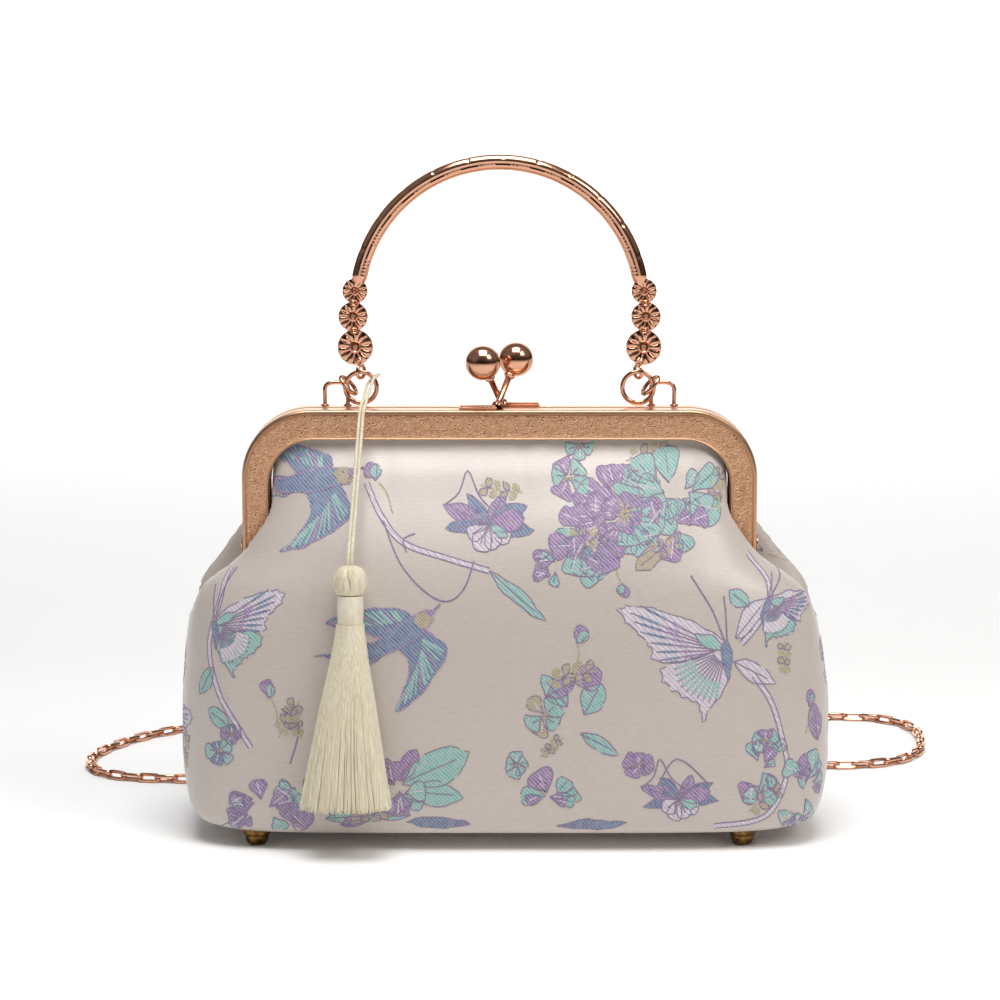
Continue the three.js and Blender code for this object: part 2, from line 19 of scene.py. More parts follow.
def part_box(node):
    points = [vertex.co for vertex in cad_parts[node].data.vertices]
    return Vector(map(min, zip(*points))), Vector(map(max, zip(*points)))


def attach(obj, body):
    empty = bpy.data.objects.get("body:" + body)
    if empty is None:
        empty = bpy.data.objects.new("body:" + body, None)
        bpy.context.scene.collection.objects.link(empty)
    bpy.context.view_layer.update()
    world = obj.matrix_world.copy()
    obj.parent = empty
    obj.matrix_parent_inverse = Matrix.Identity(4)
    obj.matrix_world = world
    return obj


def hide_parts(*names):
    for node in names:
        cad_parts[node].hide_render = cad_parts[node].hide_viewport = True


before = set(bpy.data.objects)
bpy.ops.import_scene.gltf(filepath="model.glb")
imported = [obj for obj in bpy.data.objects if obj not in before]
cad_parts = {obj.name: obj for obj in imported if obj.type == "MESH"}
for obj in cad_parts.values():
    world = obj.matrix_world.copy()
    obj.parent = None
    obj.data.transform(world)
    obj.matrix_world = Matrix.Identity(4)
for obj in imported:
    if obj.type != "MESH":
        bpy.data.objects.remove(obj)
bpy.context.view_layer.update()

LOG = logging.getLogger("purse")
GAP = 0.3
Sockets = dict[str | int, object]


def bag_to_row() -> Matrix:
    """Finds the bag's own frame from the metal frame's two halves.

    Returns:
        The matrix that turns bag millimetres into row metres.
    """
    front_low, front_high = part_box("frame_front")
    back_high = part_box("frame_back")[1]
    middle = Vector(((front_low[0] + front_high[0]) / 2, (front_low[1] + back_high[1]) / 2, 0))
    return Matrix.Translation(middle) @ Matrix.Scale(0.001, 4)


TO_ROW = bag_to_row()


def box_mm(node: str) -> tuple[Vector, Vector]:
    """Reads a CAD node's box in bag millimetres.

    Args:
        node: the node's name.

    Returns:
        Its lowest and highest corners.
    """
    low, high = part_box(node)
    back = TO_ROW.inverted()
    return back @ Vector(low), back @ Vector(high)


# Colours and nodes


def linear(colour: str) -> tuple[float, float, float, float]:
    """Turns a hex sRGB colour into the linear values that a shader takes.

    Args:
        colour: six hex digits.

    Returns:
        Linear red, green, blue and full alpha.
    """
    parts = [int(colour[start:start + 2], 16) / 255 for start in (0, 2, 4)]
    curve = [part / 12.92 if part <= 0.04045 else ((part + 0.055) / 1.055) ** 2.4 for part in parts]
    return (*curve, 1.0)


def add_node(tree: bpy.types.NodeTree, kind: str, settings: Sockets | None = None,
             inputs: Sockets | None = None) -> bpy.types.Node:
    """Adds one node with its settings and its inputs, which are values or other nodes' outputs.

    Args:
        tree: the node tree that it joins.
        kind: the node's type without its ShaderNode prefix.
        settings: the node's own properties by name.
        inputs: values or output sockets by input name or number.

    Returns:
        The new node.
    """
    node = tree.nodes.new(f"ShaderNode{kind}")
    for name, value in (settings or {}).items():
        setattr(node, name, value)
    for name, value in (inputs or {}).items():
        if isinstance(value, bpy.types.NodeSocket):
            tree.links.new(value, node.inputs[name])
        else:
            node.inputs[name].default_value = value
    return node


def new_surface(name: str) -> tuple[bpy.types.Material, bpy.types.NodeTree, bpy.types.Node]:
    """Starts a material.

    Args:
        name: the material's name.

    Returns:
        The material, its node tree and its main shader.
    """
    material = bpy.data.materials.new(name)
    material.use_nodes = True
    return material, material.node_tree, material.node_tree.nodes["Principled BSDF"]


class Thread(Enum):
    """The brocade's figure threads."""

    TEAL = "teal"
    VIOLET = "violet"
    SLATE = "slate"
    GOLD = "gold"
    WHITE = "white"
    PLUM = "plum"


@dataclass(frozen=True)
class SatinGround:
    """Ivory silk-look satin, woven from bright filament: a soft broad gloss, with fine level weft lines."""

    colour: str = "D3C9C1"
    shade: str = "BFB4AB"
    weft_pitch: float = 0.62
    roughness: float = 0.36

    def build(self) -> bpy.types.Material:
        """Makes the material. Its weft of 0.2 mm threads is drawn at 0.62 mm, or it would not show."""
        material, tree, shader = new_surface("ivory_satin")
        cloth = add_node(tree, "UVMap", {"uv_map": "cloth"})
        axes = add_node(tree, "SeparateXYZ", inputs={0: cloth.outputs[0]})
        drift = add_node(tree, "TexNoise", inputs={"Vector": cloth.outputs[0], "Scale": 0.25, "Detail": 2.0})
        wander = add_node(tree, "Math", {"operation": "MULTIPLY_ADD"},
                          {0: drift.outputs[0], 1: 0.5, 2: axes.outputs[1]})
        turns = add_node(tree, "Math", {"operation": "MULTIPLY"},
                         {0: wander.outputs[0], 1: 2 * math.pi / self.weft_pitch})
        weft = add_node(tree, "Math", {"operation": "SINE"}, {0: turns.outputs[0]})
        stretch = add_node(tree, "Mapping", inputs={"Vector": cloth.outputs[0], "Scale": (0.35, 2.4, 1.0)})
        slub = add_node(tree, "TexNoise", inputs={"Vector": stretch.outputs[0], "Scale": 1.0, "Detail": 3.0})
        tone = add_node(tree, "MapRange", inputs={0: slub.outputs[0], 1: 0.3, 2: 0.7})
        ply = add_node(tree, "MapRange", inputs={0: weft.outputs[0], 1: -1.0, 2: 1.0, 3: 0.0, 4: 0.45})
        both = add_node(tree, "Math", {"operation": "MULTIPLY_ADD"},
                        {0: tone.outputs[0], 1: 0.5, 2: ply.outputs[0]})
        mix = add_node(tree, "Mix", {"data_type": "RGBA"},
                       {0: both.outputs[0], 6: linear(self.colour), 7: linear(self.shade)})
        relief = add_node(tree, "Math", {"operation": "MULTIPLY_ADD"},
                          {0: slub.outputs[0], 1: 0.9, 2: ply.outputs[0]})
        bump = add_node(tree, "Bump", inputs={"Strength": 0.16, "Distance": 0.0002, "Height": relief.outputs[0]})
        tree.links.new(mix.outputs[2], shader.inputs["Base Color"])
        tree.links.new(bump.outputs[0], shader.inputs["Normal"])
        shader.inputs["Roughness"].default_value = self.roughness
        shader.inputs["Specular IOR Level"].default_value = 0.95
        shader.inputs["Sheen Weight"].default_value = 0.3
        shader.inputs["Sheen Roughness"].default_value = 0.4
        return material


@dataclass(frozen=True)
class FigureThread:
    """Viscose figure weft of one colour, bound in a diagonal twill: soft stripes with the ground between."""

    thread: Thread
    colour: str
    between: str
    pitch: float = 1.05
    slant: float = 1.0
    cover: float = 0.62
    roughness: float = 0.5

    def build(self) -> bpy.types.Material:
        """Makes the material. The twill follows the cloth's own map, in millimetres."""
        material, tree, shader = new_surface(f"figure_{self.thread.value}")
        cloth = add_node(tree, "UVMap", {"uv_map": "cloth"})
        axes = add_node(tree, "SeparateXYZ", inputs={0: cloth.outputs[0]})
        grain = add_node(tree, "TexNoise", inputs={"Vector": cloth.outputs[0], "Scale": 0.45, "Detail": 4.0})
        slide = add_node(tree, "Math", {"operation": "MULTIPLY_ADD"},
                         {0: axes.outputs[0], 1: self.slant, 2: axes.outputs[1]})
        uneven = add_node(tree, "Math", {"operation": "MULTIPLY_ADD"},
                          {0: grain.outputs[0], 1: 0.9, 2: slide.outputs[0]})
        turns = add_node(tree, "Math", {"operation": "MULTIPLY"},
                         {0: uneven.outputs[0], 1: 2 * math.pi / (self.pitch * math.sqrt(2))})
        twill = add_node(tree, "Math", {"operation": "SINE"}, {0: turns.outputs[0]})
        edge = 1 - 2 * self.cover
        share = add_node(tree, "MapRange", inputs={0: twill.outputs[0], 1: edge - 0.35, 2: edge + 0.35})
        mix = add_node(tree, "Mix", {"data_type": "RGBA"},
                       {0: share.outputs[0], 6: linear(self.between), 7: linear(self.colour)})
        worn = add_node(tree, "MapRange", inputs={0: grain.outputs[0], 1: 0.4, 2: 0.66, 3: 0.0, 4: 0.6})
        faded = add_node(tree, "Mix", {"data_type": "RGBA"},
                         {0: worn.outputs[0], 6: mix.outputs[2], 7: linear(self.between)})
        bump = add_node(tree, "Bump", inputs={"Strength": 0.4, "Distance": 0.0002, "Height": share.outputs[0]})
        tree.links.new(faded.outputs[2], shader.inputs["Base Color"])
        tree.links.new(bump.outputs[0], shader.inputs["Normal"])
        shader.inputs["Roughness"].default_value = self.roughness
        shader.inputs["Sheen Weight"].default_value = 0.2
        return material


FIGURE_THREADS = (
    FigureThread(Thread.TEAL, "79B5AE", "B4C9C4"),
    FigureThread(Thread.VIOLET, "8B6A9E", "B9A5C0"),
    FigureThread(Thread.SLATE, "68709A", "93A3B4", cover=0.64),
    FigureThread(Thread.GOLD, "A0906C", "C6BBA6", pitch=0.8, cover=0.5),
    FigureThread(Thread.WHITE, "E2DAE0", "C6BBC8", pitch=1.3, cover=0.7),
    FigureThread(Thread.PLUM, "7E6D8C", "A092A9", pitch=0.7, cover=0.7),
)


@dataclass(frozen=True)
class PolishedRoseGold:
    """Rose-gold plating on polished zinc casting: mirror bright, with the faintest unevenness of a casting."""

    name: str = "polished_rose_gold"
    colour: str = "DDA78A"
    roughness: float = 0.13
    ripple_scale: float = 260.0

    def build(self) -> bpy.types.Material:
        """Makes the material, with ripples of about 4 mm that the eye sees only in reflections."""
        material, tree, shader = new_surface(self.name)
        place = add_node(tree, "TexCoord")
        ripple = add_node(tree, "TexNoise", inputs={"Vector": place.outputs["Object"],
                                                    "Scale": self.ripple_scale, "Detail": 2.0})
        smear = add_node(tree, "MapRange", inputs={0: ripple.outputs[0], 1: 0.3, 2: 0.7,
                                                   3: self.roughness - 0.03, 4: self.roughness + 0.07})
        bump = add_node(tree, "Bump", inputs={"Strength": 0.08, "Distance": 0.0003, "Height": ripple.outputs[0]})
        tree.links.new(smear.outputs[0], shader.inputs["Roughness"])
        tree.links.new(bump.outputs[0], shader.inputs["Normal"])
        shader.inputs["Base Color"].default_value = linear(self.colour)
        shader.inputs["Metallic"].default_value = 1.0
        return material


@dataclass(frozen=True)
class FrostedRoseGold:
    """Rose-gold plating on embossed sheet steel: a sandy tan grain with bright pin-prick facets."""

    colour: str = "EBBA94"
    dark: str = "C8926D"
    grain_mm: float = 0.55
    roughness: float = 0.42

    def build(self) -> bpy.types.Material:
        """Makes the material. Grain of 0.2 mm is drawn at 0.55 mm, about two pixels of the picture."""
        material, tree, shader = new_surface("frosted_rose_gold")
        place = add_node(tree, "TexCoord")
        per_metre = 1000 / self.grain_mm
        grain = add_node(tree, "TexVoronoi", inputs={"Vector": place.outputs["Object"], "Scale": per_metre})
        clouds = add_node(tree, "TexNoise", inputs={"Vector": place.outputs["Object"],
                                                    "Scale": per_metre / 4, "Detail": 4.0})
        pebble = add_node(tree, "Math", {"operation": "ADD"}, {0: grain.outputs[0], 1: clouds.outputs[0]})
        tone = add_node(tree, "MapRange", inputs={0: pebble.outputs[0], 1: 0.55, 2: 1.25})
        mix = add_node(tree, "Mix", {"data_type": "RGBA"},
                       {0: tone.outputs[0], 6: linear(self.dark), 7: linear(self.colour)})
        pick = add_node(tree, "SeparateColor", inputs={0: grain.outputs["Color"]})
        facet = add_node(tree, "MapRange", inputs={0: pick.outputs[0], 1: 0.78, 2: 0.86,
                                                   3: self.roughness, 4: 0.16})
        bump = add_node(tree, "Bump", inputs={"Strength": 0.55, "Distance": 0.0002, "Height": pebble.outputs[0]})
        tree.links.new(mix.outputs[2], shader.inputs["Base Color"])
        tree.links.new(facet.outputs[0], shader.inputs["Roughness"])
        tree.links.new(bump.outputs[0], shader.inputs["Normal"])
        shader.inputs["Metallic"].default_value = 0.9
        return material


@dataclass(frozen=True)
class AntiqueBrass:
    """Darkened turned brass, as on bag studs: brown in the low parts, rubbed bright where it is proud."""

    colour: str = "8C6A3C"
    dark: str = "4A3018"
    roughness: float = 0.3

    def build(self) -> bpy.types.Material:
        """Makes the material, with patches of tarnish about 2 mm across."""
        material, tree, shader = new_surface("antique_brass")
        place = add_node(tree, "TexCoord")
        tarnish = add_node(tree, "TexNoise", inputs={"Vector": place.outputs["Object"], "Scale": 500.0,
                                                     "Detail": 4.0})
        share = add_node(tree, "MapRange", inputs={0: tarnish.outputs[0], 1: 0.35, 2: 0.7})
        mix = add_node(tree, "Mix", {"data_type": "RGBA"},
                       {0: share.outputs[0], 6: linear(self.colour), 7: linear(self.dark)})
        tree.links.new(mix.outputs[2], shader.inputs["Base Color"])
        shader.inputs["Metallic"].default_value = 1.0
        shader.inputs["Roughness"].default_value = self.roughness
        return material


@dataclass(frozen=True)
class SilkFloss:
    """Cream viscose floss, as in tassels: fine parallel filaments with a long soft shine along them."""

    name: str = "silk_floss"
    colour: str = "F3EBD3"
    # the darker colour of the low streaks: partly painted shade between the filaments, partly the floss's uneven tone
    dark: str = "DCCFB0"
    filament_mm: float = 0.5
    along: float = 0.04
    roughness: float = 0.42
    bump: float = 0.35

    def build(self) -> bpy.types.Material:
        """Makes the material. Filaments of 0.02 mm are gathered into streaks of half a millimetre."""
        material, tree, shader = new_surface(self.name)
        place = add_node(tree, "TexCoord")
        across = 1000 / self.filament_mm
        stretch = add_node(tree, "Mapping", inputs={"Vector": place.outputs["Object"],
                                                    "Scale": (across, across, across * self.along)})
        streak = add_node(tree, "TexNoise", inputs={"Vector": stretch.outputs[0], "Scale": 1.0, "Detail": 3.0})
        # Low streaks take the darker colour: painted shade between the filaments, mixed with the floss's uneven tone.
        share = add_node(tree, "MapRange", inputs={0: streak.outputs[0], 1: 0.35, 2: 0.65})
        mix = add_node(tree, "Mix", {"data_type": "RGBA"},
                       {0: share.outputs[0], 6: linear(self.dark), 7: linear(self.colour)})
        bump = add_node(tree, "Bump", inputs={"Strength": self.bump, "Distance": 0.0002,
                                              "Height": streak.outputs[0]})
        tree.links.new(mix.outputs[2], shader.inputs["Base Color"])
        tree.links.new(bump.outputs[0], shader.inputs["Normal"])
        shader.inputs["Roughness"].default_value = self.roughness
        shader.inputs["Sheen Weight"].default_value = 0.3
        shader.inputs["Subsurface Weight"].default_value = 0.08
        shader.inputs["Subsurface Radius"].default_value = (0.001, 0.0008, 0.0005)
        return material


@dataclass(frozen=True)
class StudioPaper:
    """Matt white background paper."""

    colour: str = "FFFFFF"

    def build(self) -> bpy.types.Material:
        """Makes the material, one even matt white."""
        material, tree, shader = new_surface("studio_paper")
        shader.inputs["Base Color"].default_value = linear(self.colour)
        shader.inputs["Roughness"].default_value = 0.9
        shader.inputs["Specular IOR Level"].default_value = 0.1
        return material


class Wardrobe:
    """Holds each finish's material, made once."""

    def __init__(self) -> None:
        """Makes every material of the purse."""
        self.satin = SatinGround().build()
        self.figures = {finish.thread: finish.build() for finish in FIGURE_THREADS}
        self.polished = PolishedRoseGold().build()
        self.buffed = PolishedRoseGold("buffed_rose_gold", "D6A886", 0.3, 900.0).build()
        self.frosted = FrostedRoseGold().build()
        self.brass = AntiqueBrass().build()
        self.floss = SilkFloss().build()
        # The satin band's second colour also darkens its low streaks: partly painted shade, partly uneven tone.
        self.ribbon = SilkFloss("silk_satin", "F6EEDB", "EADFC6", 1.4, 0.3, 0.3, 0.1).build()
        self.paper = StudioPaper().build()


# Shaping


def loft(rings: Sequence[Sequence[Vector]], cap_start: bool = True, cap_end: bool = True,
         closed: bool = False) -> bmesh.types.BMesh:
    """Extrudes a ring of points through sections with the same number of points.

    Args:
        rings: the sections in order.
        cap_start: whether the first section is filled in.
        cap_end: whether the last section is filled in.
        closed: whether the last section joins the first.

    Returns:
        The mesh, with its faces turned outwards.
    """
    bm = bmesh.new()
    row_layer = bm.verts.layers.int.new("row")
    column_layer = bm.verts.layers.int.new("column")
    start = bmesh.ops.create_circle(bm, segments=len(rings[0]), radius=1.0)["verts"]
    for column, (vert, place) in enumerate(zip(start, rings[0])):
        vert.co = place
        vert[column_layer] = column
    edges = list(bm.edges)
    first_edges = list(edges)
    for row, ring in enumerate(rings[1:], 1):
        grown = bmesh.ops.extrude_edge_only(bm, edges=edges)["geom"]
        fresh = [item for item in grown if isinstance(item, bmesh.types.BMVert)]
        edges = [item for item in grown if isinstance(item, bmesh.types.BMEdge)]
        for vert in fresh:
            vert.co = ring[vert[column_layer]]
            vert[row_layer] = row
    if closed:
        bmesh.ops.bridge_loops(bm, edges=first_edges + edges)
    else:
        if cap_start:
            bmesh.ops.contextual_create(bm, geom=first_edges)
        if cap_end:
            bmesh.ops.contextual_create(bm, geom=edges)
    bmesh.ops.recalc_face_normals(bm, faces=bm.faces)
    return bm


def frames_along(points: Sequence[Vector], closed: bool = False) -> list[tuple[Vector, Vector, Vector]]:
    """Carries a pair of crosswise directions along a path without twist.

    Args:
        points: the path's points.
        closed: whether the path joins up.

    Returns:
        For each point, its tangent and two directions across it.
    """
    count = len(points)
    frames = []
    side = None
    for index, point in enumerate(points):
        before = points[(index - 1) % count if closed else max(index - 1, 0)]
        after = points[(index + 1) % count if closed else min(index + 1, count - 1)]
        along = (after - before).normalized()
        if side is None:
            side = along.orthogonal().normalized()
        side = (side - along * side.dot(along)).normalized()
        frames.append((along, side, along.cross(side)))
    return frames


def wire(points: Sequence[Vector], radius: float, sides: int = 12, closed: bool = False,
         squash: float = 1.0) -> bmesh.types.BMesh:
    """Sweeps a round or flattened wire along a path.

    Args:
        points: the path's points.
        radius: the wire's radius.
        sides: the number of sides.
        closed: whether the wire joins up with itself.
        squash: the share of the radius across the first crosswise direction.

    Returns:
        The wire's mesh.
    """
    rings = []
    for point, (_, side, other) in zip(points, frames_along(points, closed)):
        turns = [2 * math.pi * index / sides for index in range(sides)]
        rings.append([point + side * radius * squash * math.cos(turn) + other * radius * math.sin(turn)
                      for turn in turns])
    return loft(rings, closed=closed)


def smooth_path(points: Sequence[Sequence[float]], steps: int) -> list[Vector]:
    """Runs a centripetal curve through points, as the CAD's cords and chain do, in equal steps.

    Args:
        points: the points that the curve passes through.
        steps: how many equal steps it is cut into.

    Returns:
        The curve's points, one more than steps.
    """
    route = [Vector(point) for point in points]
    padded = [2 * route[0] - route[1], *route, 2 * route[-1] - route[-2]]
    dense = []
    for index in range(len(route) - 1):
        a, b, c, d = padded[index:index + 4]
        ta = math.sqrt(max((b - a).length, 1e-6))
        tb = math.sqrt(max((c - b).length, 1e-6))
        tc = math.sqrt(max((d - c).length, 1e-6))
        start = ((b - a) / ta - (c - a) / (ta + tb) + (c - b) / tb) * tb
        finish = ((c - b) / tb - (d - b) / (tb + tc) + (d - c) / tc) * tb
        for step in range(24):
            t = step / 24
            dense.append(b * (2 * t**3 - 3 * t**2 + 1) + start * (t**3 - 2 * t**2 + t)
                         + c * (3 * t**2 - 2 * t**3) + finish * (t**3 - t**2))
    dense.append(route[-1])
    return even_steps(dense, steps)


def even_steps(points: Sequence[Vector], steps: int, closed: bool = False) -> list[Vector]:
    """Cuts a polyline into equal steps.

    Args:
        points: the polyline's points.
        steps: the number of steps.
        closed: whether the line returns to its first point, which then isn't repeated.

    Returns:
        The new points.
    """
    line = [*points, points[0]] if closed else list(points)
    marks = [0.0]
    for before, after in zip(line, line[1:]):
        marks.append(marks[-1] + (after - before).length)
    result = []
    seat = 0
    for step in range(steps if closed else steps + 1):
        goal = marks[-1] * step / steps
        while seat < len(marks) - 2 and marks[seat + 1] < goal:
            seat += 1
        span = marks[seat + 1] - marks[seat] or 1.0
        result.append(line[seat].lerp(line[seat + 1], min(1.0, (goal - marks[seat]) / span)))
    return result


def path_length(points: Sequence[Vector]) -> float:
    """Adds up a polyline's steps."""
    return sum((after - before).length for before, after in zip(points, points[1:]))


def joined(parts: Iterable[bmesh.types.BMesh]) -> bmesh.types.BMesh:
    """Gathers meshes into one, and frees them.

    Args:
        parts: the meshes.

    Returns:
        One mesh that holds them all.
    """
    whole = bmesh.new()
    for part in parts:
        mesh = bpy.data.meshes.new("part")
        part.to_mesh(mesh)
        part.free()
        whole.from_mesh(mesh)
        bpy.data.meshes.remove(mesh)
    return whole


def moved(bm: bmesh.types.BMesh, matrix: Matrix) -> bmesh.types.BMesh:
    """Moves a mesh and hands it back."""
    bmesh.ops.transform(bm, matrix=matrix, verts=bm.verts)
    return bm


def make_piece(name: str, bm: bmesh.types.BMesh, material: bpy.types.Material,
               body: str = "root", replaces: Sequence[str] = (), crease: float = 40.0) -> bpy.types.Object:
    """Finishes a mesh as a piece of the purse: in its place, dressed, and riding on its body.

    Args:
        name: the piece's name.
        bm: its mesh in bag millimetres.
        material: its material.
        body: the CAD body that it moves with.
        replaces: the CAD nodes that it stands for.
        crease: the angle in degrees past which an edge stays sharp.

    Returns:
        The new object.
    """
    moved(bm, TO_ROW)
    for label in ("row", "column"):
        if label in bm.verts.layers.int:
            bm.verts.layers.int.remove(bm.verts.layers.int[label])
    mesh = bpy.data.meshes.new(name)
    bm.to_mesh(mesh)
    bm.free()
    mesh.polygons.foreach_set("use_smooth", [True] * len(mesh.polygons))
    mesh.set_sharp_from_angle(angle=math.radians(crease))
    piece = bpy.data.objects.new(name, mesh)
    bpy.context.scene.collection.objects.link(piece)
    mesh.materials.append(material)
    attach(piece, body)
    if replaces:
        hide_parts(*replaces)
    LOG.info("%s: %d faces", name, len(mesh.polygons))
    return piece


# The bag and its woven figure


class Section(NamedTuple):
    """One level of the bag. Widths and depth are shares of half the bag's, lean a share of its sideways lean."""

    height: float
    front: float
    back: float
    depth: float
    square: float
    tuck: float
    lean: float


BAG_SECTIONS = (
    Section(0, 0.9, 0.9, 0.9, 5.5, 0, 1),
    Section(0.009, 0.936, 0.936, 0.94, 5.2, 0, 1),
    Section(0.03, 0.963, 0.963, 0.97, 5, 0, 1),
    Section(0.08, 0.984, 0.984, 0.99, 4.5, 0, 1),
    Section(0.178, 1, 1, 1, 3.7, 0, 1),
    Section(0.312, 1, 1, 0.995, 3.4, 0, 1),
    Section(0.418, 0.99, 0.99, 0.976, 3.3, 0, 0.9),
    Section(0.524, 0.972, 0.974, 0.924, 3.3, 0, 0.7),
    Section(0.592, 0.95, 0.957, 0.868, 3.3, 0.22, 0.6),
    Section(0.64, 0.906, 0.925, 0.82, 3.4, 0.62, 0.4),
    Section(0.672, 0.852, 0.893, 0.782, 3.5, 1, 0.3),
    Section(0.706, 0.8, 0.862, 0.735, 3.6, 1, 0.1),
    Section(0.759, 0.756, 0.818, 0.65, 3.7, 1, 0),
    Section(0.812, 0.721, 0.775, 0.552, 3.8, 1, 0),
    Section(0.865, 0.704, 0.735, 0.44, 3.9, 1, 0),
    Section(0.918, 0.697, 0.702, 0.33, 4, 1, 0),
    Section(1, 0.694, 0.694, 0.162, 4, 1, 0),
)


def smoothstep(value: float) -> float:
    """Eases a value from 0 to 1."""
    value = min(1.0, max(0.0, value))
    return value * value * (3 - 2 * value)


def section_at(height: float) -> Section:
    """Reads the bag's table between its rows, on a smooth curve.

    Args:
        height: a share of the bag's height.

    Returns:
        The section there.
    """
    table = BAG_SECTIONS
    low = max(index for index, row in enumerate(table) if row.height <= height)
    low = min(low, len(table) - 2)
    rows = [table[max(0, min(len(table) - 1, low + shift))] for shift in (-1, 0, 1, 2)]
    before, start, finish, after = rows
    span = finish.height - start.height
    t = (height - start.height) / span
    values = []
    for column in range(1, len(start)):
        rise = (finish[column] - start[column]) / span
        reach_back = (start[column] - before[column]) / ((start.height - before.height) or span)
        reach_on = (after[column] - finish[column]) / ((after.height - finish.height) or span)
        slope_in = 0.0 if reach_back * rise <= 0 else 2 * reach_back * rise / (reach_back + rise)
        slope_out = 0.0 if reach_on * rise <= 0 else 2 * reach_on * rise / (reach_on + rise)
        values.append(start[column] * (2 * t**3 - 3 * t**2 + 1) + slope_in * span * (t**3 - 2 * t**2 + t)
                      + finish[column] * (3 * t**2 - 2 * t**3) + slope_out * span * (t**3 - t**2))
    return Section(height, *values)


class Face(Enum):
    """The side of the bag that a figure is woven on."""

    FRONT = 0.0
    BACK = 0.5


@dataclass
class BrocadeBag:
    """The soft bag: one padded cloth shell, full below and gathered into the frame, with tucked sides."""

    cloth: float = 2.0
    lean: float = 2.0
    top: float = 138.7
    tuck_reach: float = 8.9
    tuck_slope: float = 3.5
    tuck_floor: float = 79.5
    clamp: float = 5.0
    columns: int = 252
    gather_depth: float = 0.45
    gather_pitch: float = 5.5
    billow: float = 0.8
    width: float = field(init=False)
    depth: float = field(init=False)
    base: float = field(init=False)
    heights: list[float] = field(init=False)
    rings: list[list[Vector]] = field(init=False)
    girths: list[float] = field(init=False)

    def __post_init__(self) -> None:
        """Reads the size from the CAD bag and works out the cloth's surface."""
        low, high = box_mm("bag_body")
        self.width = high.x - low.x
        self.depth = high.y - low.y
        self.base = low.z
        foot = [0, 0.002, 0.005, 0.009, 0.014, 0.021, 0.03, 0.042, 0.055, 0.068]
        self.heights = foot + [0.08 + 0.92 * step / 62 for step in range(63)]
        self.rings = [self.ring(height, 0.0) for height in self.heights]
        self.girths = [path_length([*ring, ring[0]]) for ring in self.rings]

    def ring(self, height: float, inset: float) -> list[Vector]:
        """Draws the bag's outline at one level, from the middle of the back round the left side.

        Args:
            height: a share of the bag's height.
            inset: how far inside the outer surface it lies.

        Returns:
            The outline's points, in equal steps.
        """
        row = section_at(height)
        level = self.base + height * (self.top - self.base)
        deep = row.depth * self.depth / 2 - inset
        reach = self.tuck_reach + inset
        flank = min(reach + self.tuck_slope, 0.85 * deep)
        edge = min(reach, 0.6 * deep)
        power = 2 / row.square

        def quarter(side: int, face: int) -> list[Vector]:
            """Draws a quarter of the outline, from the side to the middle of a face."""
            points = []
            wide = (row.front if face < 0 else row.back) * self.width / 2 - inset
            for step in range(91):
                angle = math.pi / 4 * (1 - math.cos(math.pi * step / 90))
                across = wide * max(0.0, math.cos(angle)) ** power
                back = deep * math.sin(angle) ** power
                share = 1 - smoothstep((back - edge) / (flank - edge))
                valley = row.tuck * max(0.0, across - (self.tuck_floor - inset))
                points.append(Vector((side * (across - valley * share) + row.lean * self.lean,
                                      face * back, level)))
            return points

        outline = quarter(-1, 1)[::-1] + quarter(-1, -1)[1:] + quarter(1, -1)[::-1][1:] + quarter(1, 1)[1:-1]
        points = even_steps(outline, self.columns, closed=True)
        if inset:
            return points
        return [self.softened(points, index, level) for index in range(self.columns)]

    def softened(self, points: list[Vector], index: int, level: float) -> Vector:
        """Moves one point in or out by the cloth's gathers and slow swells.

        Args:
            points: the outline at this level.
            index: the point's place on it.
            level: the outline's height.

        Returns:
            The moved point.
        """
        point = points[index]
        along = points[(index + 1) % self.columns] - points[index - 1]
        outward = Vector((along.y, -along.x, 0)).normalized()
        swell = noise.noise(Vector((point.x / 46, point.y / 30, level / 38)))
        fade = smoothstep((level - self.base) / 30) * smoothstep((self.top - level) / 26)
        fold = noise.noise(Vector((point.x / self.gather_pitch, point.y / 40 + 7, level / 60)))
        bunch = smoothstep((level - 106) / 26) * smoothstep((self.top + 2 - level) / 5)
        return point + outward * (self.billow * swell * fade + self.gather_depth * fold * bunch)

    def on_cloth(self, across: float, level: float, face: Face) -> Vector:
        """Finds a point of the cloth.

        Args:
            across: millimetres along the cloth from the middle of the face, to its right as it is seen.
            level: the height above the floor.
            face: the face that it is measured from.

        Returns:
            The point on the outer surface.
        """
        share = min(1.0, max(0.0, (level - self.base) / (self.top - self.base)))
        upper = min(max(1, bisect_left(self.heights, share)), len(self.heights) - 1)
        blend = (share - self.heights[upper - 1]) / (self.heights[upper] - self.heights[upper - 1])
        ends = []
        for row in (upper - 1, upper):
            seat = (0.5 + face.value + across / self.girths[row]) * self.columns
            whole = math.floor(seat)
            ring = self.rings[row]
            ends.append(ring[whole % self.columns].lerp(ring[(whole + 1) % self.columns], seat - whole))
        return ends[0].lerp(ends[1], blend)

    def raised(self, across: float, level: float, lift: float, face: Face) -> Vector:
        """Finds a point at a height above the cloth, along its outward direction.

        Args:
            across: millimetres along the cloth from the middle of the face.
            level: the height above the floor.
            lift: the distance out from the surface.
            face: the face that it is measured from.

        Returns:
            The point.
        """
        step = 0.8
        right = self.on_cloth(across + step, level, face) - self.on_cloth(across - step, level, face)
        up = self.on_cloth(across, level + step, face) - self.on_cloth(across, level - step, face)
        return self.on_cloth(across, level, face) + right.cross(up).normalized() * lift

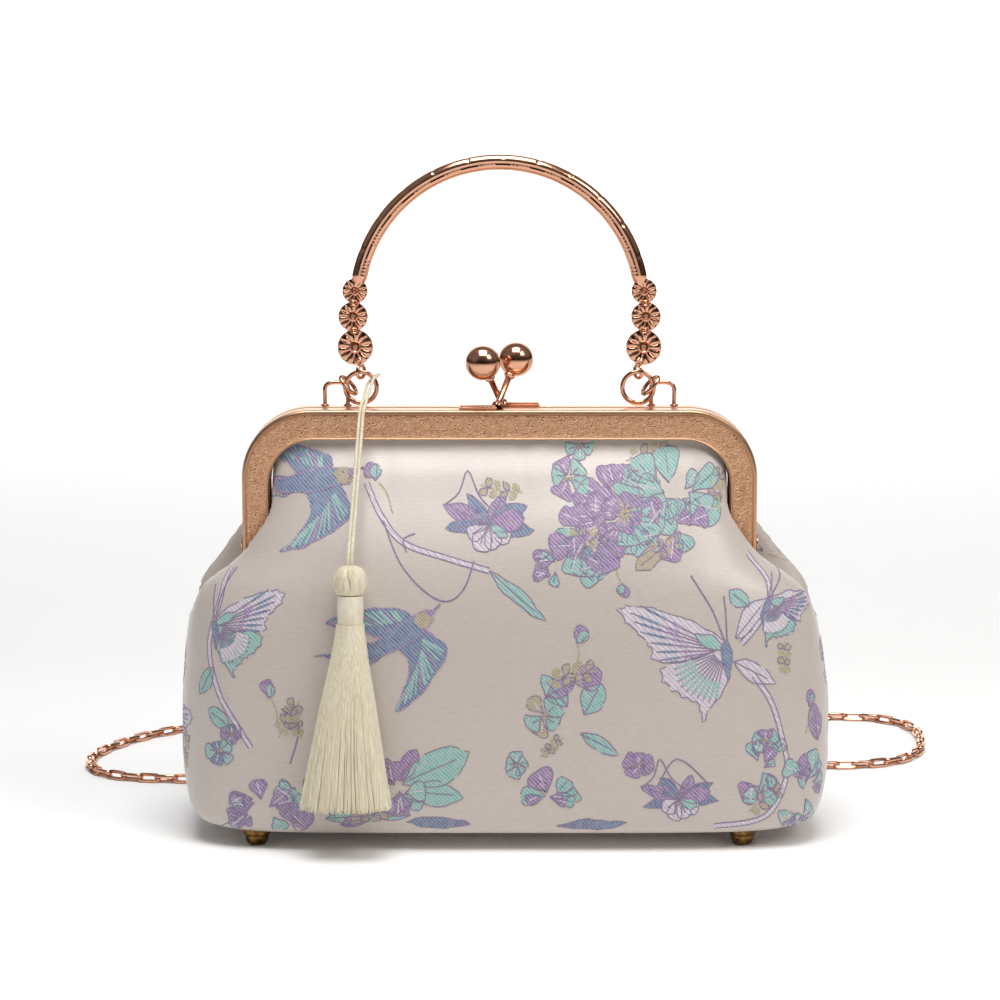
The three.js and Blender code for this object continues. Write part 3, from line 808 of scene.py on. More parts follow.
    def build(self, wardrobe: Wardrobe) -> bpy.types.Object:
        """Makes the cloth shell with its wall, and maps its weave in millimetres.

        Args:
            wardrobe: the finishes.

        Returns:
            The bag's object.
        """
        inner = [self.ring(height, self.cloth) for height in self.heights[::-4]]
        floor = self.base + self.cloth
        for ring in inner:
            for point in ring:
                point.z = max(point.z, floor)
        clamped = [[point + Vector((0, 0, rise)) for point in self.rings[-1]] for rise in (2, self.clamp)]
        lining = [[point + Vector((0, 0, rise)) for point in inner[0]] for rise in (self.clamp, 2)]
        rings = self.rings + clamped + lining + [ring for ring in inner if ring[0].z > floor] + [inner[-1]]
        bm = loft(rings)
        row_layer = bm.verts.layers.int["row"]
        column_layer = bm.verts.layers.int["column"]
        weave = bm.loops.layers.uv.new("cloth")
        for face in bm.faces:
            columns = [loop.vert[column_layer] for loop in face.loops]
            wraps = max(columns) - min(columns) > self.columns / 2
            for loop, column in zip(face.loops, columns):
                seat = column + self.columns if wraps and column < self.columns / 2 else column
                girth = self.girths[min(loop.vert[row_layer], len(self.girths) - 1)]
                loop[weave].uv = ((seat / self.columns - 0.5) * girth, loop.vert.co.z)
        return make_piece("brocade_bag", bm, wardrobe.satin, replaces=["bag_body"], crease=60)


class Patch(NamedTuple):
    """One woven shape on the flat cloth: its thread, outline and how proud it lies."""

    thread: Thread
    outline: list[complex]
    lift: float
    ribbon: float


@dataclass(frozen=True)
class Stamp:
    """Where a motif is put on the flat cloth, in millimetres and degrees."""

    across: float
    level: float
    turn: float = 0.0
    size: float = 1.0
    flip: bool = False

    def place(self, points: Iterable[complex]) -> list[complex]:
        """Puts a motif's own points on the cloth."""
        spin = self.size * complex(math.cos(math.radians(self.turn)), math.sin(math.radians(self.turn)))
        corner = complex(self.across, self.level)
        return [corner + spin * (-point.conjugate() if self.flip else point) for point in points]


Pairs = Sequence[tuple[float, float]]


def flowing(points: Pairs, closed: bool = True, step: int = 4) -> list[complex]:
    """Rounds a few chosen points into a flowing line.

    Args:
        points: the points that it passes through.
        closed: whether it returns to its start.
        step: how many pieces each stretch is cut into.

    Returns:
        The line's points.
    """
    knots = [complex(*point) for point in points]
    count = len(knots)
    line = []
    for index in range(count if closed else count - 1):
        a, b, c, d = (knots[(index + shift) % count] if closed else knots[max(0, min(count - 1, index + shift))]
                      for shift in (-1, 0, 1, 2))
        for piece in range(step):
            t = piece / step
            line.append(0.5 * (2 * b + (c - a) * t + (2 * a - 5 * b + 4 * c - d) * t**2
                               + (3 * b - a - 3 * c + d) * t**3))
    return line if closed else [*line, knots[-1]]


def petal_outline(angle: float, length: float, width: float, fullness: float = 1.5,
                  notch: float = 0.0, start: float = 0.0) -> list[complex]:
    """Draws a petal or leaf from the origin.

    Args:
        angle: the way it points, in degrees.
        length: its length.
        width: its width.
        fullness: 1 for a leaf that is widest in its middle, more for a petal that is full at its tip.
        notch: how far its tip is drawn in, as a share of the length.
        start: how far from the origin it begins.

    Returns:
        Its outline.
    """
    heading = complex(math.cos(math.radians(angle)), math.sin(math.radians(angle)))
    steps = 9
    left = []
    right = []
    for index in range(steps + 1):
        t = index / steps
        reach = start + length * (t - notch * smoothstep((t - 0.8) / 0.2) * t)
        half = width / 2 * max(0.0, math.sin(math.pi * t**fullness)) ** 0.8
        left.append(heading * complex(reach, half))
        right.append(heading * complex(reach, -half))
    return left + right[-2:0:-1]


class Figure:
    """The brocade's figure: swallows, butterflies, peonies, orchids, buds, leaves and vines.

    The motifs are the ones that such brocade has had for centuries, drawn here by formula and a few points.
    """

    EDGE = 0.4
    LOW = 0.1
    STEP = 0.03
    SUNK = -0.25
    GRID = 4.4
    WAVER = 0.95
    WAVER_STEP = 1.9

    def __init__(self) -> None:
        """Starts with bare cloth and a seeded hand."""
        self.patches: list[Patch] = []
        self.hand = random.Random(11)

    def fill(self, stamp: Stamp, thread: Thread, outline: Iterable[complex], rank: int = 0,
             edge: Thread | None = Thread.PLUM) -> None:
        """Weaves a filled shape, with a fine and here and there broken line round it.

        Args:
            stamp: where the motif lies.
            thread: the shape's thread.
            outline: its outline in the motif's own millimetres.
            rank: how many shapes it lies over.
            edge: the thread of the line round it, or None.
        """
        placed = self.ragged(stamp.place(outline))
        self.patches.append(Patch(thread, placed, self.LOW + self.STEP * rank, 0.0))
        start = 0
        while edge is not None and start < len(placed):
            run = self.hand.randint(5, 14)
            stretch = [placed[index % len(placed)] for index in range(start, min(start + run, len(placed)) + 1)]
            self.patches.append(Patch(edge, stretch, self.LOW + self.STEP * (rank + 1), self.EDGE))
            start += run + self.hand.choice((0, 1, 1))

    def ragged(self, outline: list[complex]) -> list[complex]:
        """Makes an outline waver as a woven edge does.

        Args:
            outline: the smooth outline on the flat cloth.

        Returns:
            The same outline in short steps, each moved a little.
        """
        line = []
        for index, start in enumerate(outline):
            finish = outline[(index + 1) % len(outline)]
            count = max(1, round(abs(finish - start) / self.WAVER_STEP))
            line += [start + (finish - start) * piece / count for piece in range(count)]
        moved_line = []
        for point in line:
            coarse = noise.noise_vector(Vector((point.real / 4.5, point.imag / 4.5, 3)))
            fine = noise.noise_vector(Vector((point.real / 1.3, point.imag / 1.3, 9)))
            shift = coarse * self.WAVER + fine * self.WAVER * 0.3
            moved_line.append(point + complex(shift.x, shift.y))
        return moved_line

    def line(self, stamp: Stamp, thread: Thread, points: Iterable[complex], rank: int = 2,
             width: float = 0.5) -> None:
        """Weaves a fine line.

        Args:
            stamp: where the motif lies.
            thread: the line's thread.
            points: its points in the motif's own millimetres.
            rank: how many shapes it lies over.
            width: its width.
        """
        self.patches.append(Patch(thread, stamp.place(points), self.LOW + self.STEP * rank, width))

    def leaf(self, stamp: Stamp, thread: Thread, angle: float, length: float, width: float,
             root: tuple[float, float] = (0, 0), rank: int = 0) -> None:
        """Weaves a pointed leaf with a midrib.

        Args:
            stamp: where the motif lies.
            thread: the leaf's thread.
            angle: the way it points, in degrees.
            length: its length.
            width: its width.
            root: where it begins, in the motif's own millimetres.
            rank: how many shapes it lies over.
        """
        corner = complex(*root)
        outline = [corner + point for point in petal_outline(angle, length, width, 1.0)]
        self.fill(stamp, thread, outline, rank)
        heading = complex(math.cos(math.radians(angle)), math.sin(math.radians(angle)))
        self.line(stamp, Thread.PLUM, [corner, corner + 0.8 * length * heading], rank + 2, 0.4)

    def blossom(self, stamp: Stamp, threads: Sequence[Thread], petals: int = 5, length: float = 5.5,
                width: float = 5.2) -> None:
        """Weaves a small open flower.

        Args:
            stamp: where it lies.
            threads: the petals' threads in turn.
            petals: the number of petals.
            length: a petal's length.
            width: a petal's width.
        """
        for index in range(petals):
            angle = 18 + 360 * index / petals + self.hand.uniform(-14, 14)
            reach = length * self.hand.uniform(0.75, 1.25)
            outline = petal_outline(angle, reach, width * self.hand.uniform(0.8, 1.25), 1.6, 0.12, 0.5)
            self.fill(stamp, threads[index % len(threads)], outline, index % 3)
            heading = complex(math.cos(math.radians(angle)), math.sin(math.radians(angle)))
            self.line(stamp, Thread.WHITE if index % 2 else Thread.PLUM,
                      [0.25 * reach * heading, 0.7 * reach * heading], 4, 0.4)
        for index in range(4):
            speck = complex(self.hand.uniform(-1, 1), self.hand.uniform(-1, 1)) * 0.16 * length
            self.line(stamp, Thread.GOLD, [speck, speck + complex(0.7, 0.3)], 5, 0.6)

    def peony(self, stamp: Stamp, spread: float = 1.25) -> None:
        """Weaves a full, loose peony: violet petals to the left, teal to the right, and a violet heart.

        Args:
            stamp: where it lies.
            spread: how much wider than high it is.
        """
        rows = ((9, 17.0, 11.0, 4.0, 0), (7, 12.0, 9.5, 2.0, 2), (5, 7.0, 6.5, 0.5, 4))
        for petals, length, width, start, rank in rows:
            for index in range(petals):
                angle = 360 * (index + self.hand.uniform(-0.28, 0.28)) / petals + 15 * rank
                right = math.cos(math.radians(angle)) + self.hand.uniform(-0.45, 0.45) > 0.1
                reach = (length - start) * self.hand.uniform(0.75, 1.15)
                outline = petal_outline(angle, reach, width * self.hand.uniform(0.75, 1.2), 1.75, 0.16, start)
                oval = [complex(point.real * spread, point.imag) for point in outline]
                self.fill(stamp, TEAL if right and rank < 4 else VIOLET, oval, rank + index % 2)
                for turn in (-9, 3, 12):
                    heading = complex(spread * math.cos(math.radians(angle + turn)),
                                      math.sin(math.radians(angle + turn)))
                    near = (start + reach) * self.hand.uniform(0.5, 0.6)
                    self.line(stamp, SLATE if right else Thread.WHITE,
                              [near * heading, near * 1.35 * heading], rank + 2, 0.42)
        for index in range(11):
            heading = complex(math.cos(0.7 * index), math.sin(0.7 * index))
            self.line(stamp, Thread.GOLD, [0.4 * heading, (1.8 + index % 4) * heading], 7, 0.6)

    def bunch(self, stamp: Stamp, threads: Sequence[Thread], petals: int = 12, spread: float = 8.0) -> None:
        """Weaves a loose bunch: petals of mixed sizes that overlap within an oval twice as wide as high.

        Args:
            stamp: where its middle lies.
            threads: the petals' threads in turn.
            petals: the number of petals.
            spread: how far to each side their roots reach.
        """
        for index in range(petals):
            root = complex(self.hand.uniform(-1, 1) * spread, self.hand.uniform(-0.5, 0.5) * spread)
            angle = math.degrees(math.atan2(root.imag, root.real)) + self.hand.uniform(-55, 55)
            length = self.hand.uniform(4.5, 9.5)
            width = length * self.hand.uniform(0.55, 0.95)
            outline = [root + point for point in petal_outline(angle, length, width, 1.5, 0.15)]
            self.fill(stamp, threads[index % len(threads)], outline, index % 4)
            heading = complex(math.cos(math.radians(angle)), math.sin(math.radians(angle)))
            self.line(stamp, Thread.WHITE if index % 2 else Thread.SLATE,
                      [root + 0.25 * length * heading, root + 0.75 * length * heading], 5, 0.4)

    def orchid(self, stamp: Stamp) -> None:
        """Weaves an orchid: slender slate sepals, a white frilled lip and a violet throat."""
        sepals = ((158, 17, 5.5), (186, 15, 4.6), (128, 12, 5), (58, 11, 5), (22, 15, 6), (352, 16, 5.5))
        for number, (angle, length, width) in enumerate(sepals):
            self.leaf(stamp, Thread.SLATE if number % 3 else Thread.VIOLET, angle, length, width)
        for angle, length, width in ((212, 9, 6), (248, 10, 6.5), (286, 9, 6), (322, 10, 6)):
            self.fill(stamp, Thread.WHITE, petal_outline(angle, length, width, 1.5, 0.1), 2)
            heading = complex(math.cos(math.radians(angle)), math.sin(math.radians(angle)))
            self.line(stamp, Thread.PLUM, [2 * heading, 0.7 * length * heading], 4, 0.4)
        self.fill(stamp, Thread.VIOLET, petal_outline(8, 13, 7, 1.2), 4)
        self.fill(stamp, Thread.TEAL, petal_outline(330, 8, 4, 1.2), 5)
        self.line(stamp, Thread.PLUM, flowing(((-15, 6), (-10, 10), (-7, 17), (-3, 9), (2, 4)), False), 2)

    def swallow(self, stamp: Stamp) -> None:
        """Weaves a swallow that flies along its own X, 42 mm from beak to tail."""
        upper = ((9, 2), (9, 6.5), (3, 11), (-7, 15), (-17, 16.5), (-11, 11), (-6, 7), (-2, 2.5))
        lower = ((10, -2), (14, -8), (13.5, -13), (6, -17.5), (-3, -20.5), (-12.5, -21), (-6, -16.5), (-1, -12),
                 (1, -7), (0, -2.5))
        tail = ((-6, 2.6), (-15, 3.6), (-26, 9), (-18, 1.4), (-27.5, -3.5), (-15, -3), (-6, -3))
        body = ((14.5, 2.2), (10, 3.3), (3, 3.4), (-6, 2.6), (-12, 1.2), (-12, -1.4), (-6, -2.6), (3, -3.4),
                (10, -3), (14, -1.8))
        roots = flowing(((9, -5), (5, -9.5), (-2, -15)), False, 6) + flowing(((6, 4), (0, 6), (-8, 10.6)), False, 5)
        tips = (flowing(((13, -12), (1.5, -18.5), (-11.5, -20.6)), False, 6)
                + flowing(((6, 8), (-3, 12.6), (-15.5, 15.8)), False, 5))
        self.fill(stamp, VIOLET, flowing(tail, step=3), 0, SLATE)
        self.fill(stamp, SLATE, flowing(upper), 1, VIOLET)
        self.fill(stamp, SLATE, flowing(lower), 1, VIOLET)
        for number, (root, tip) in enumerate(zip(roots, tips)):
            self.line(stamp, VIOLET if number % 4 == 3 else TEAL, [root, (2 * root + 3 * tip) / 5, tip], 3,
                      self.hand.uniform(0.5, 1.1))
        self.fill(stamp, SLATE, flowing(body), 5, VIOLET)
        self.fill(stamp, Thread.GOLD, flowing(((16.5, 2), (13, 3.4), (10, 1.5), (11, -2.2), (15.5, -1.8))), 6, None)
        self.fill(stamp, VIOLET, flowing(((18, 1.6), (15.6, 2.8), (14.4, 1), (16.4, -0.6))), 7, None)
        self.line(stamp, Thread.PLUM, [complex(17, 1.2), complex(20.5, 1.8)], 7, 0.6)

    def butterfly(self, stamp: Stamp, lower: Thread = Thread.TEAL) -> None:
        """Weaves a butterfly seen from the side, its wings to the left of its body.

        Args:
            stamp: where its body lies.
            lower: the lower wing's thread.
        """
        fore = ((0, 2), (-9, 9), (-21, 13.5), (-33, 15.5), (-36, 12.5), (-31, 6.5), (-26, 2.5), (-24.5, -3),
                (-12, -2))
        hind = ((0, 0), (-11, -2.5), (-21.5, -4.5), (-22, -9.5), (-17.5, -13.5), (-13, -16), (-9, -19.5),
                (-7.5, -24), (-5.8, -19), (-2.5, -15.5), (0.5, -8))
        scalloped = [[point * (1 + 0.03 * math.cos(2.1 * number)) for number, point in enumerate(flowing(wing))]
                     for wing in (fore, hind)]
        self.fill(stamp, WHITE, scalloped[0], 0)
        self.fill(stamp, lower, scalloped[1], 1)
        streak = TEAL if lower is WHITE else WHITE
        for angle, reach in ((158, 35), (162, 33), (167, 30), (152, 33), (173, 26), (180, 24), (187, 23)):
            heading = complex(math.cos(math.radians(angle)), math.sin(math.radians(angle)))
            self.line(stamp, Thread.PLUM, [4 * heading, reach * heading], 2, 0.45)
            self.line(stamp, VIOLET, [0.5 * reach * heading, 0.62 * reach * heading], 3, 0.9)
            self.line(stamp, SLATE, [0.7 * reach * heading, 0.92 * reach * heading], 3, 0.8)
        for number in range(10):
            angle = math.radians(198 + 6.6 * number)
            heading = complex(math.cos(angle), math.sin(angle))
            reach = 20 - 0.3 * abs(number - 3)
            self.line(stamp, Thread.PLUM, [4 * heading, reach * heading], 3, 0.42)
            self.line(stamp, streak, [0.6 * reach * heading, 0.93 * reach * heading], 4, 1.0)
        self.fill(stamp, Thread.TEAL, petal_outline(150, 12, 4.2, 1.0), 4)
        self.fill(stamp, Thread.SLATE, flowing(((0, 3), (2, 1), (2.2, -5), (0.8, -10), (-0.8, -5), (-1.4, 0))), 5)
        self.line(stamp, Thread.PLUM, flowing(((0, 3), (-4, 13), (-11, 25)), False), 4)
        self.line(stamp, Thread.PLUM, flowing(((0.8, 3), (0.6, 10), (0, 18)), False), 4)

    def bud(self, stamp: Stamp, stem: float = 12.0) -> None:
        """Weaves a bud on its stem, which hangs down from it.

        Args:
            stamp: where it lies.
            stem: the stem's length.
        """
        self.line(stamp, Thread.GOLD, flowing(((0, -2), (0.8, -stem / 2), (-0.4, -stem)), False), 0, 0.6)
        self.fill(stamp, Thread.VIOLET, petal_outline(100, 6.5, 5, 1.3, 0.1, -1), 1)
        self.fill(stamp, Thread.TEAL, petal_outline(60, 5.5, 3.6, 1.2, 0.0, -1.5), 2)

    def sprig(self, stamp: Stamp, pairs: int = 4, thread: Thread = Thread.GOLD) -> None:
        """Weaves a fine spray of small round leaves.

        Args:
            stamp: where it begins; it grows along its own X.
            pairs: the number of pairs of leaves.
            thread: its thread.
        """
        reach = 3.2 * pairs + 2
        self.line(stamp, thread, flowing(((0, 0), (reach / 2, 0.8), (reach, 0)), False), 0, 0.5)
        for index in range(pairs):
            for side in (-1, 1):
                root = complex(3.2 * index + 1.5 + 0.8 * (side > 0), 0.5)
                leaf = [root + point for point in petal_outline(side * 58, 3.6, 2.5, 1.3)]
                self.fill(stamp, thread, leaf, 1, Thread.PLUM if index % 2 else None)

    def vine(self, points: Pairs, inside: Thread = Thread.WHITE, width: float = 1.7) -> None:
        """Weaves a bamboo-like stem: two fine lines with a pale thread between.

        Args:
            points: the stem's course on the flat cloth.
            inside: the thread between its lines.
            width: its width.
        """
        flat = Stamp(0, 0)
        course = flowing(points, False, 5)
        self.line(flat, inside, course, 0, width)
        for side in (-1, 1):
            edge = []
            for index, point in enumerate(course):
                along = course[min(index + 1, len(course) - 1)] - course[max(index - 1, 0)]
                edge.append(point + side * width / 2 * 1j * along / (abs(along) or 1))
            self.line(flat, Thread.PLUM, edge, 1, 0.42)

    def flat_mesh(self, bag: BrocadeBag) -> bmesh.types.BMesh:
        """Lays every shape on the flat cloth, cuts it into small faces and gives it thickness.

        Args:
            bag: the bag that the cloth is cut for.

        Returns:
            The mesh: X across the cloth, Y the height, Z above the surface.
        """
        bm = bmesh.new()
        thread_layer = bm.faces.layers.int.new("thread")
        names = list(Thread)
        for patch in self.patches:
            if patch.ribbon:
                faces = self.ribbon(bm, patch)
            else:
                faces = [self.sheet(bm, patch)]
            for face in faces:
                face[thread_layer] = names.index(patch.thread)
        wide = [face for face in bm.faces if len(face.verts) > 4]
        bmesh.ops.triangulate(bm, faces=wide, ngon_method="EAR_CLIP")
        aside = math.ceil(max(bag.girths) / 4 / self.GRID)
        cuts = [((self.GRID * step, 0, 0), (1, 0, 0)) for step in range(-aside, aside + 1)]
        cuts += [((0, self.GRID * step, 0), (0, 1, 0)) for step in range(1, math.ceil(bag.top / self.GRID))]
        for place, facing in cuts:
            bmesh.ops.bisect_plane(bm, geom=bm.verts[:] + bm.edges[:] + bm.faces[:], plane_co=place,
                                   plane_no=facing)
        past_seam = [face for face in bm.faces if not self.on_panel(bag, face.calc_center_median())]
        bmesh.ops.delete(bm, geom=past_seam, context="FACES")
        grown = bmesh.ops.extrude_face_region(bm, geom=bm.faces[:] + bm.edges[:], use_keep_orig=True)["geom"]
        for item in grown:
            if isinstance(item, bmesh.types.BMVert):
                item.co.z = self.SUNK
        bmesh.ops.recalc_face_normals(bm, faces=bm.faces)
        return bm

    @staticmethod
    def on_panel(bag: BrocadeBag, place: Vector) -> bool:
        """Tells whether a point of the flat cloth lies on its panel: below the frame and short of the side seam."""
        share = (place.y - bag.base) / (bag.top - bag.base)
        girth = bag.girths[min(max(0, bisect_left(bag.heights, share)), len(bag.girths) - 1)]
        return 0.008 < share < 0.995 and abs(place.x) < girth / 4 - 0.6

    @staticmethod
    def sheet(bm: bmesh.types.BMesh, patch: Patch) -> bmesh.types.BMFace:
        """Lays one filled shape: a disc whose rim is drawn out to the outline."""
        rim = bmesh.ops.create_circle(bm, cap_ends=True, segments=len(patch.outline), radius=1.0)["verts"]
        for vert, point in zip(rim, patch.outline):
            vert.co = (point.real, point.imag, patch.lift)
        return rim[0].link_faces[0]

    @staticmethod
    def ribbon(bm: bmesh.types.BMesh, patch: Patch) -> list[bmesh.types.BMFace]:
        """Lays one line as a narrow ribbon, grown from its first edge.

        Args:
            bm: the flat mesh.
            patch: the line.

        Returns:
            Its faces.
        """
        ends = []
        points = patch.outline
        closed = abs(points[0] - points[-1]) < 1e-6
        for index, point in enumerate(points):
            before = points[index - 1] if index else (points[-2] if closed else point)
            after = points[index + 1] if index < len(points) - 1 else (points[1] if closed else point)
            along = after - before
            aside = 0.5j * patch.ribbon * along / (abs(along) or 1)
            ends.append((point + aside, point - aside))
        pair = [bm.verts.new((end.real, end.imag, patch.lift)) for end in ends[0]]
        edge = bm.edges.new(pair)
        faces = []
        for left, right in ends[1:]:
            grown = bmesh.ops.extrude_edge_only(bm, edges=[edge])["geom"]
            edge = next(item for item in grown if isinstance(item, bmesh.types.BMEdge))
            fresh = [item for item in grown if isinstance(item, bmesh.types.BMVert)]
            partner = next(vert for vert in fresh if any(pair[0] in link.verts for link in vert.link_edges))
            other = next(vert for vert in fresh if vert is not partner)
            partner.co = (left.real, left.imag, patch.lift)
            other.co = (right.real, right.imag, patch.lift)
            pair = [partner, other]
            faces.append(next(item for item in partner.link_faces))
        return faces

    @staticmethod
    def on_bag(bm: bmesh.types.BMesh, bag: BrocadeBag, face: Face) -> bmesh.types.BMesh:
        """Wraps the flat figure round the bag.

        Args:
            bm: the flat figure.
            bag: the bag that it lies on.
            face: the face that it is centred on.

        Returns:
            The wrapped mesh, mapped in the cloth's millimetres.
        """
        weave = bm.loops.layers.uv.new("cloth")
        for woven in bm.faces:
            for loop in woven.loops:
                loop[weave].uv = (loop.vert.co.x, loop.vert.co.y)
        for vert in bm.verts:
            vert.co = bag.raised(vert.co.x, vert.co.y, vert.co.z, face)
        return bm


class Layout(NamedTuple):
    """One motif's place: how far across the cloth and up it lies, its turn, size and whether it is mirrored."""

    across: float
    level: float
    turn: float = 0
    size: float = 1
    flip: bool = False


TEAL, VIOLET, SLATE, WHITE, GOLD = Thread.TEAL, Thread.VIOLET, Thread.SLATE, Thread.WHITE, Thread.GOLD
SWALLOWS = (Layout(-67, 125, 9), Layout(-38, 74, 31), Layout(-134, 118, 20, 0.8))
BUTTERFLIES = (Layout(76, 70), Layout(-101, 77, 4, 0.74, True), Layout(92, 85, -22, 0.56, True),
               Layout(150, 52, 10, 0.8), Layout(-140, 40, -12, 0.7, True))
ORCHIDS = (Layout(-4, 112), Layout(60, 19, 4, 0.85), Layout(-150, 84, 0, 0.8))
PEONIES = (Layout(43, 115, -12, 1.0), Layout(140, 24, 60, 0.8))
BUNCHES = ((Layout(59, 121, -10, 1.6), (TEAL,), 12, 5), (Layout(31, 109, 20, 1.4), (VIOLET, VIOLET, TEAL), 11, 5),
           (Layout(60, 110, 15, 1.3), (TEAL, VIOLET), 10, 5), (Layout(-84, 15, 0, 1.1), (VIOLET, VIOLET, TEAL), 20, 9),
           (Layout(-68, 19, 0, 1.2), (VIOLET, TEAL), 12, 6), (Layout(-37, 22, 0, 1.2), (VIOLET, TEAL, VIOLET), 11, 4),
           (Layout(22, 98, 0, 1.0), (TEAL, VIOLET), 15, 8), (Layout(15, 20, 0, 1.1), (TEAL, VIOLET), 10, 4),
           (Layout(89, 29, 80, 1.0), (TEAL, VIOLET, TEAL), 16, 7), (Layout(106, 18, 80, 1.2), (VIOLET, TEAL), 16, 7))
BLOSSOMS = (Layout(24, 127, 20, 1.35), Layout(28, 137, 40, 0.9), Layout(13, 48, 40, 1.3), Layout(4, 31, 0, 0.75),
            Layout(46, 31, 0, 0.9), Layout(90, 38, 10, 0.9), Layout(-100, 34, 30, 0.9), Layout(-95, 40, 10, 0.7),
            Layout(130, 100, 0, 1.1), Layout(-128, 62, 20, 1.1), Layout(122, 66, 0, 0.9))
BUDS = (Layout(26, 74, -14), Layout(-81, 55, 14), Layout(41, 92, 190, 0.7), Layout(-43, 127, 30, 1.1),
        Layout(108, 50, -10, 0.9), Layout(-112, 98, 10))
SPRIGS = (Layout(8, 122, 170), Layout(44, 132, 12, 1.1), Layout(74, 115, 70), Layout(22, 106, 8, 1.1),
          Layout(50, 101, 20), Layout(14, 60, 12, 1.2), Layout(-78, 40, 60), Layout(-70, 40, 110, 0.8),
          Layout(84, 14, 30), Layout(98, 60, 90, 0.8), Layout(12, 34, 40, 0.7), Layout(-54, 12, 10),
          Layout(124, 84, 60), Layout(-120, 24, 80))
LEAVES = ((21, 52, 130, 13, 7, TEAL), (27, 49, 60, 12, 9, TEAL), (26, 42, -28, 15, 4.5, TEAL),
          (38, 102, 235, 10, 5, TEAL), (56, 104, 215, 12, 6, GOLD), (80, 74, 48, 17, 7, WHITE),
          (79, 66, -28, 17, 6, WHITE), (85, 84, 140, 9, 6, TEAL), (-96, 43, 150, 10, 6, TEAL),
          (-103, 62, 240, 11, 5, TEAL), (-33, 13, 170, 16, 6, TEAL), (-12, 10, 178, 22, 4, SLATE),
          (-35, 25, 24, 25, 13, TEAL), (-33, 22, -6, 19, 9, TEAL), (-36, 26, 62, 12, 6, VIOLET),
          (-62, 12, 4, 24, 6, TEAL),
          (18, 9, 4, 24, 3.6, SLATE), (-44, 14, 200, 14, 5, VIOLET), (-4, 97, -42, 25, 4.2, TEAL),
          (14, 55, 30, 12, 6, VIOLET), (24, 60, 20, 10, 9, VIOLET), (112, 36, 100, 14, 7, VIOLET))
VINES = (
    ((-46, 125), (-41, 115), (-33, 106), (-18, 101), (-4, 97)),
    ((88, 101), (93, 92), (91, 82), (82, 72)),
    ((-97, 96), (-99, 86), (-104, 70), (-100, 54), (-92, 42), (-88, 36)),
    ((86, 61), (92, 52), (96, 40), (98, 26), (90, 12), (72, 9)),
    ((118, 92), (128, 80), (132, 62), (126, 44), (134, 28)),
    ((-118, 96), (-130, 80), (-134, 60), (-126, 44)),
)
TENDRILS = (
    ((-40, 113), (-34, 99), (-26, 90), (-19, 87), (-13, 91), (-9, 100)),
    ((-32, 103), (-33, 107), (-29, 109)),
    ((52, 23), (59, 33), (70, 24)),
    ((-74, 31), (-71, 44), (-77, 50)),
)


def weave_figure() -> Figure:
    """Lays out the whole figure of one face and the sides beside it.

    Returns:
        The figure on the flat cloth.
    """
    figure = Figure()
    pairs = ((TEAL, VIOLET), (TEAL,), (TEAL, GOLD), (TEAL,), (VIOLET,), (TEAL, VIOLET), (TEAL, SLATE),
             (VIOLET, SLATE), (TEAL,), (TEAL,))
    for course in VINES:
        figure.vine(course)
    for course in TENDRILS:
        figure.line(Stamp(0, 0), Thread.PLUM, flowing(course, False, 5), 1, 0.55)
    for across, level, angle, length, width, thread in LEAVES:
        figure.leaf(Stamp(across, level), thread, angle, length, width)
    for place in SPRIGS:
        figure.sprig(Stamp(*place))
    for place in BUDS:
        figure.bud(Stamp(*place))
    for place in PEONIES:
        figure.peony(Stamp(*place))
    for place, threads, petals, spread in BUNCHES:
        figure.bunch(Stamp(*place), threads, petals, spread)
    for number, place in enumerate(BLOSSOMS):
        figure.blossom(Stamp(*place), pairs[number % len(pairs)])
    for place in ORCHIDS:
        figure.orchid(Stamp(*place))
    for number, place in enumerate(BUTTERFLIES):
        figure.butterfly(Stamp(*place), TEAL if number else WHITE)
    for place in SWALLOWS:
        figure.swallow(Stamp(*place))
    return figure


@dataclass
class WovenFigure:
    """The brocade's figure on both faces, one piece for each thread."""

    bag: BrocadeBag

    def build(self, wardrobe: Wardrobe) -> list[bpy.types.Object]:
        """Wraps the figure round the bag and parts it by thread.

        Args:
            wardrobe: the finishes.

        Returns:
            The pieces.
        """
        flat = weave_figure().flat_mesh(self.bag)
        whole = joined([Figure.on_bag(flat.copy(), self.bag, face) for face in Face])
        flat.free()
        pieces = []
        for number, thread in enumerate(Thread):
            part = whole.copy()
            layer = part.faces.layers.int["thread"]
            others = [face for face in part.faces if face[layer] != number]
            bmesh.ops.delete(part, geom=others, context="FACES")
            part.faces.layers.int.remove(part.faces.layers.int["thread"])
            pieces.append(make_piece(f"figure_{thread.value}", part, wardrobe.figures[thread]))
        whole.free()
        return pieces


# The metal frame and its fittings


@dataclass(frozen=True)
class Plan:
    """Heights and planes that the metal pieces share."""

    frame_top: float = 149.6
    frame_low: float = 139.0
    frame_deep: float = 8.3
    ring_spacing: float = 97.2
    ring_plane: float = 3.2
    ear_plane: float = 5.4
    half_middle: float = 4.3
    ring_height: float = 156.25
    swing_height: float = 161.75


PLAN = Plan()
SIDES = {"left": -1, "right": 1}


def lathe(profile: Sequence[tuple[float, float]], sides: int = 32) -> bmesh.types.BMesh:
    """Spins a profile round the upright axis.

    Args:
        profile: radius and height of each point, from one end on the axis to the other.
        sides: the number of steps round.

    Returns:
        The turned mesh, standing on the origin.
    """
    bm = bmesh.new()
    verts = [bm.verts.new((radius, 0, height)) for radius, height in profile]
    edges = [bm.edges.new(pair) for pair in zip(verts, verts[1:])]
    bmesh.ops.spin(bm, geom=verts + edges, cent=(0, 0, 0), axis=(0, 0, 1), angle=2 * math.pi, steps=sides,
                   use_merge=True)
    bmesh.ops.remove_doubles(bm, verts=bm.verts, dist=1e-4)
    bmesh.ops.recalc_face_normals(bm, faces=bm.faces)
    return bm


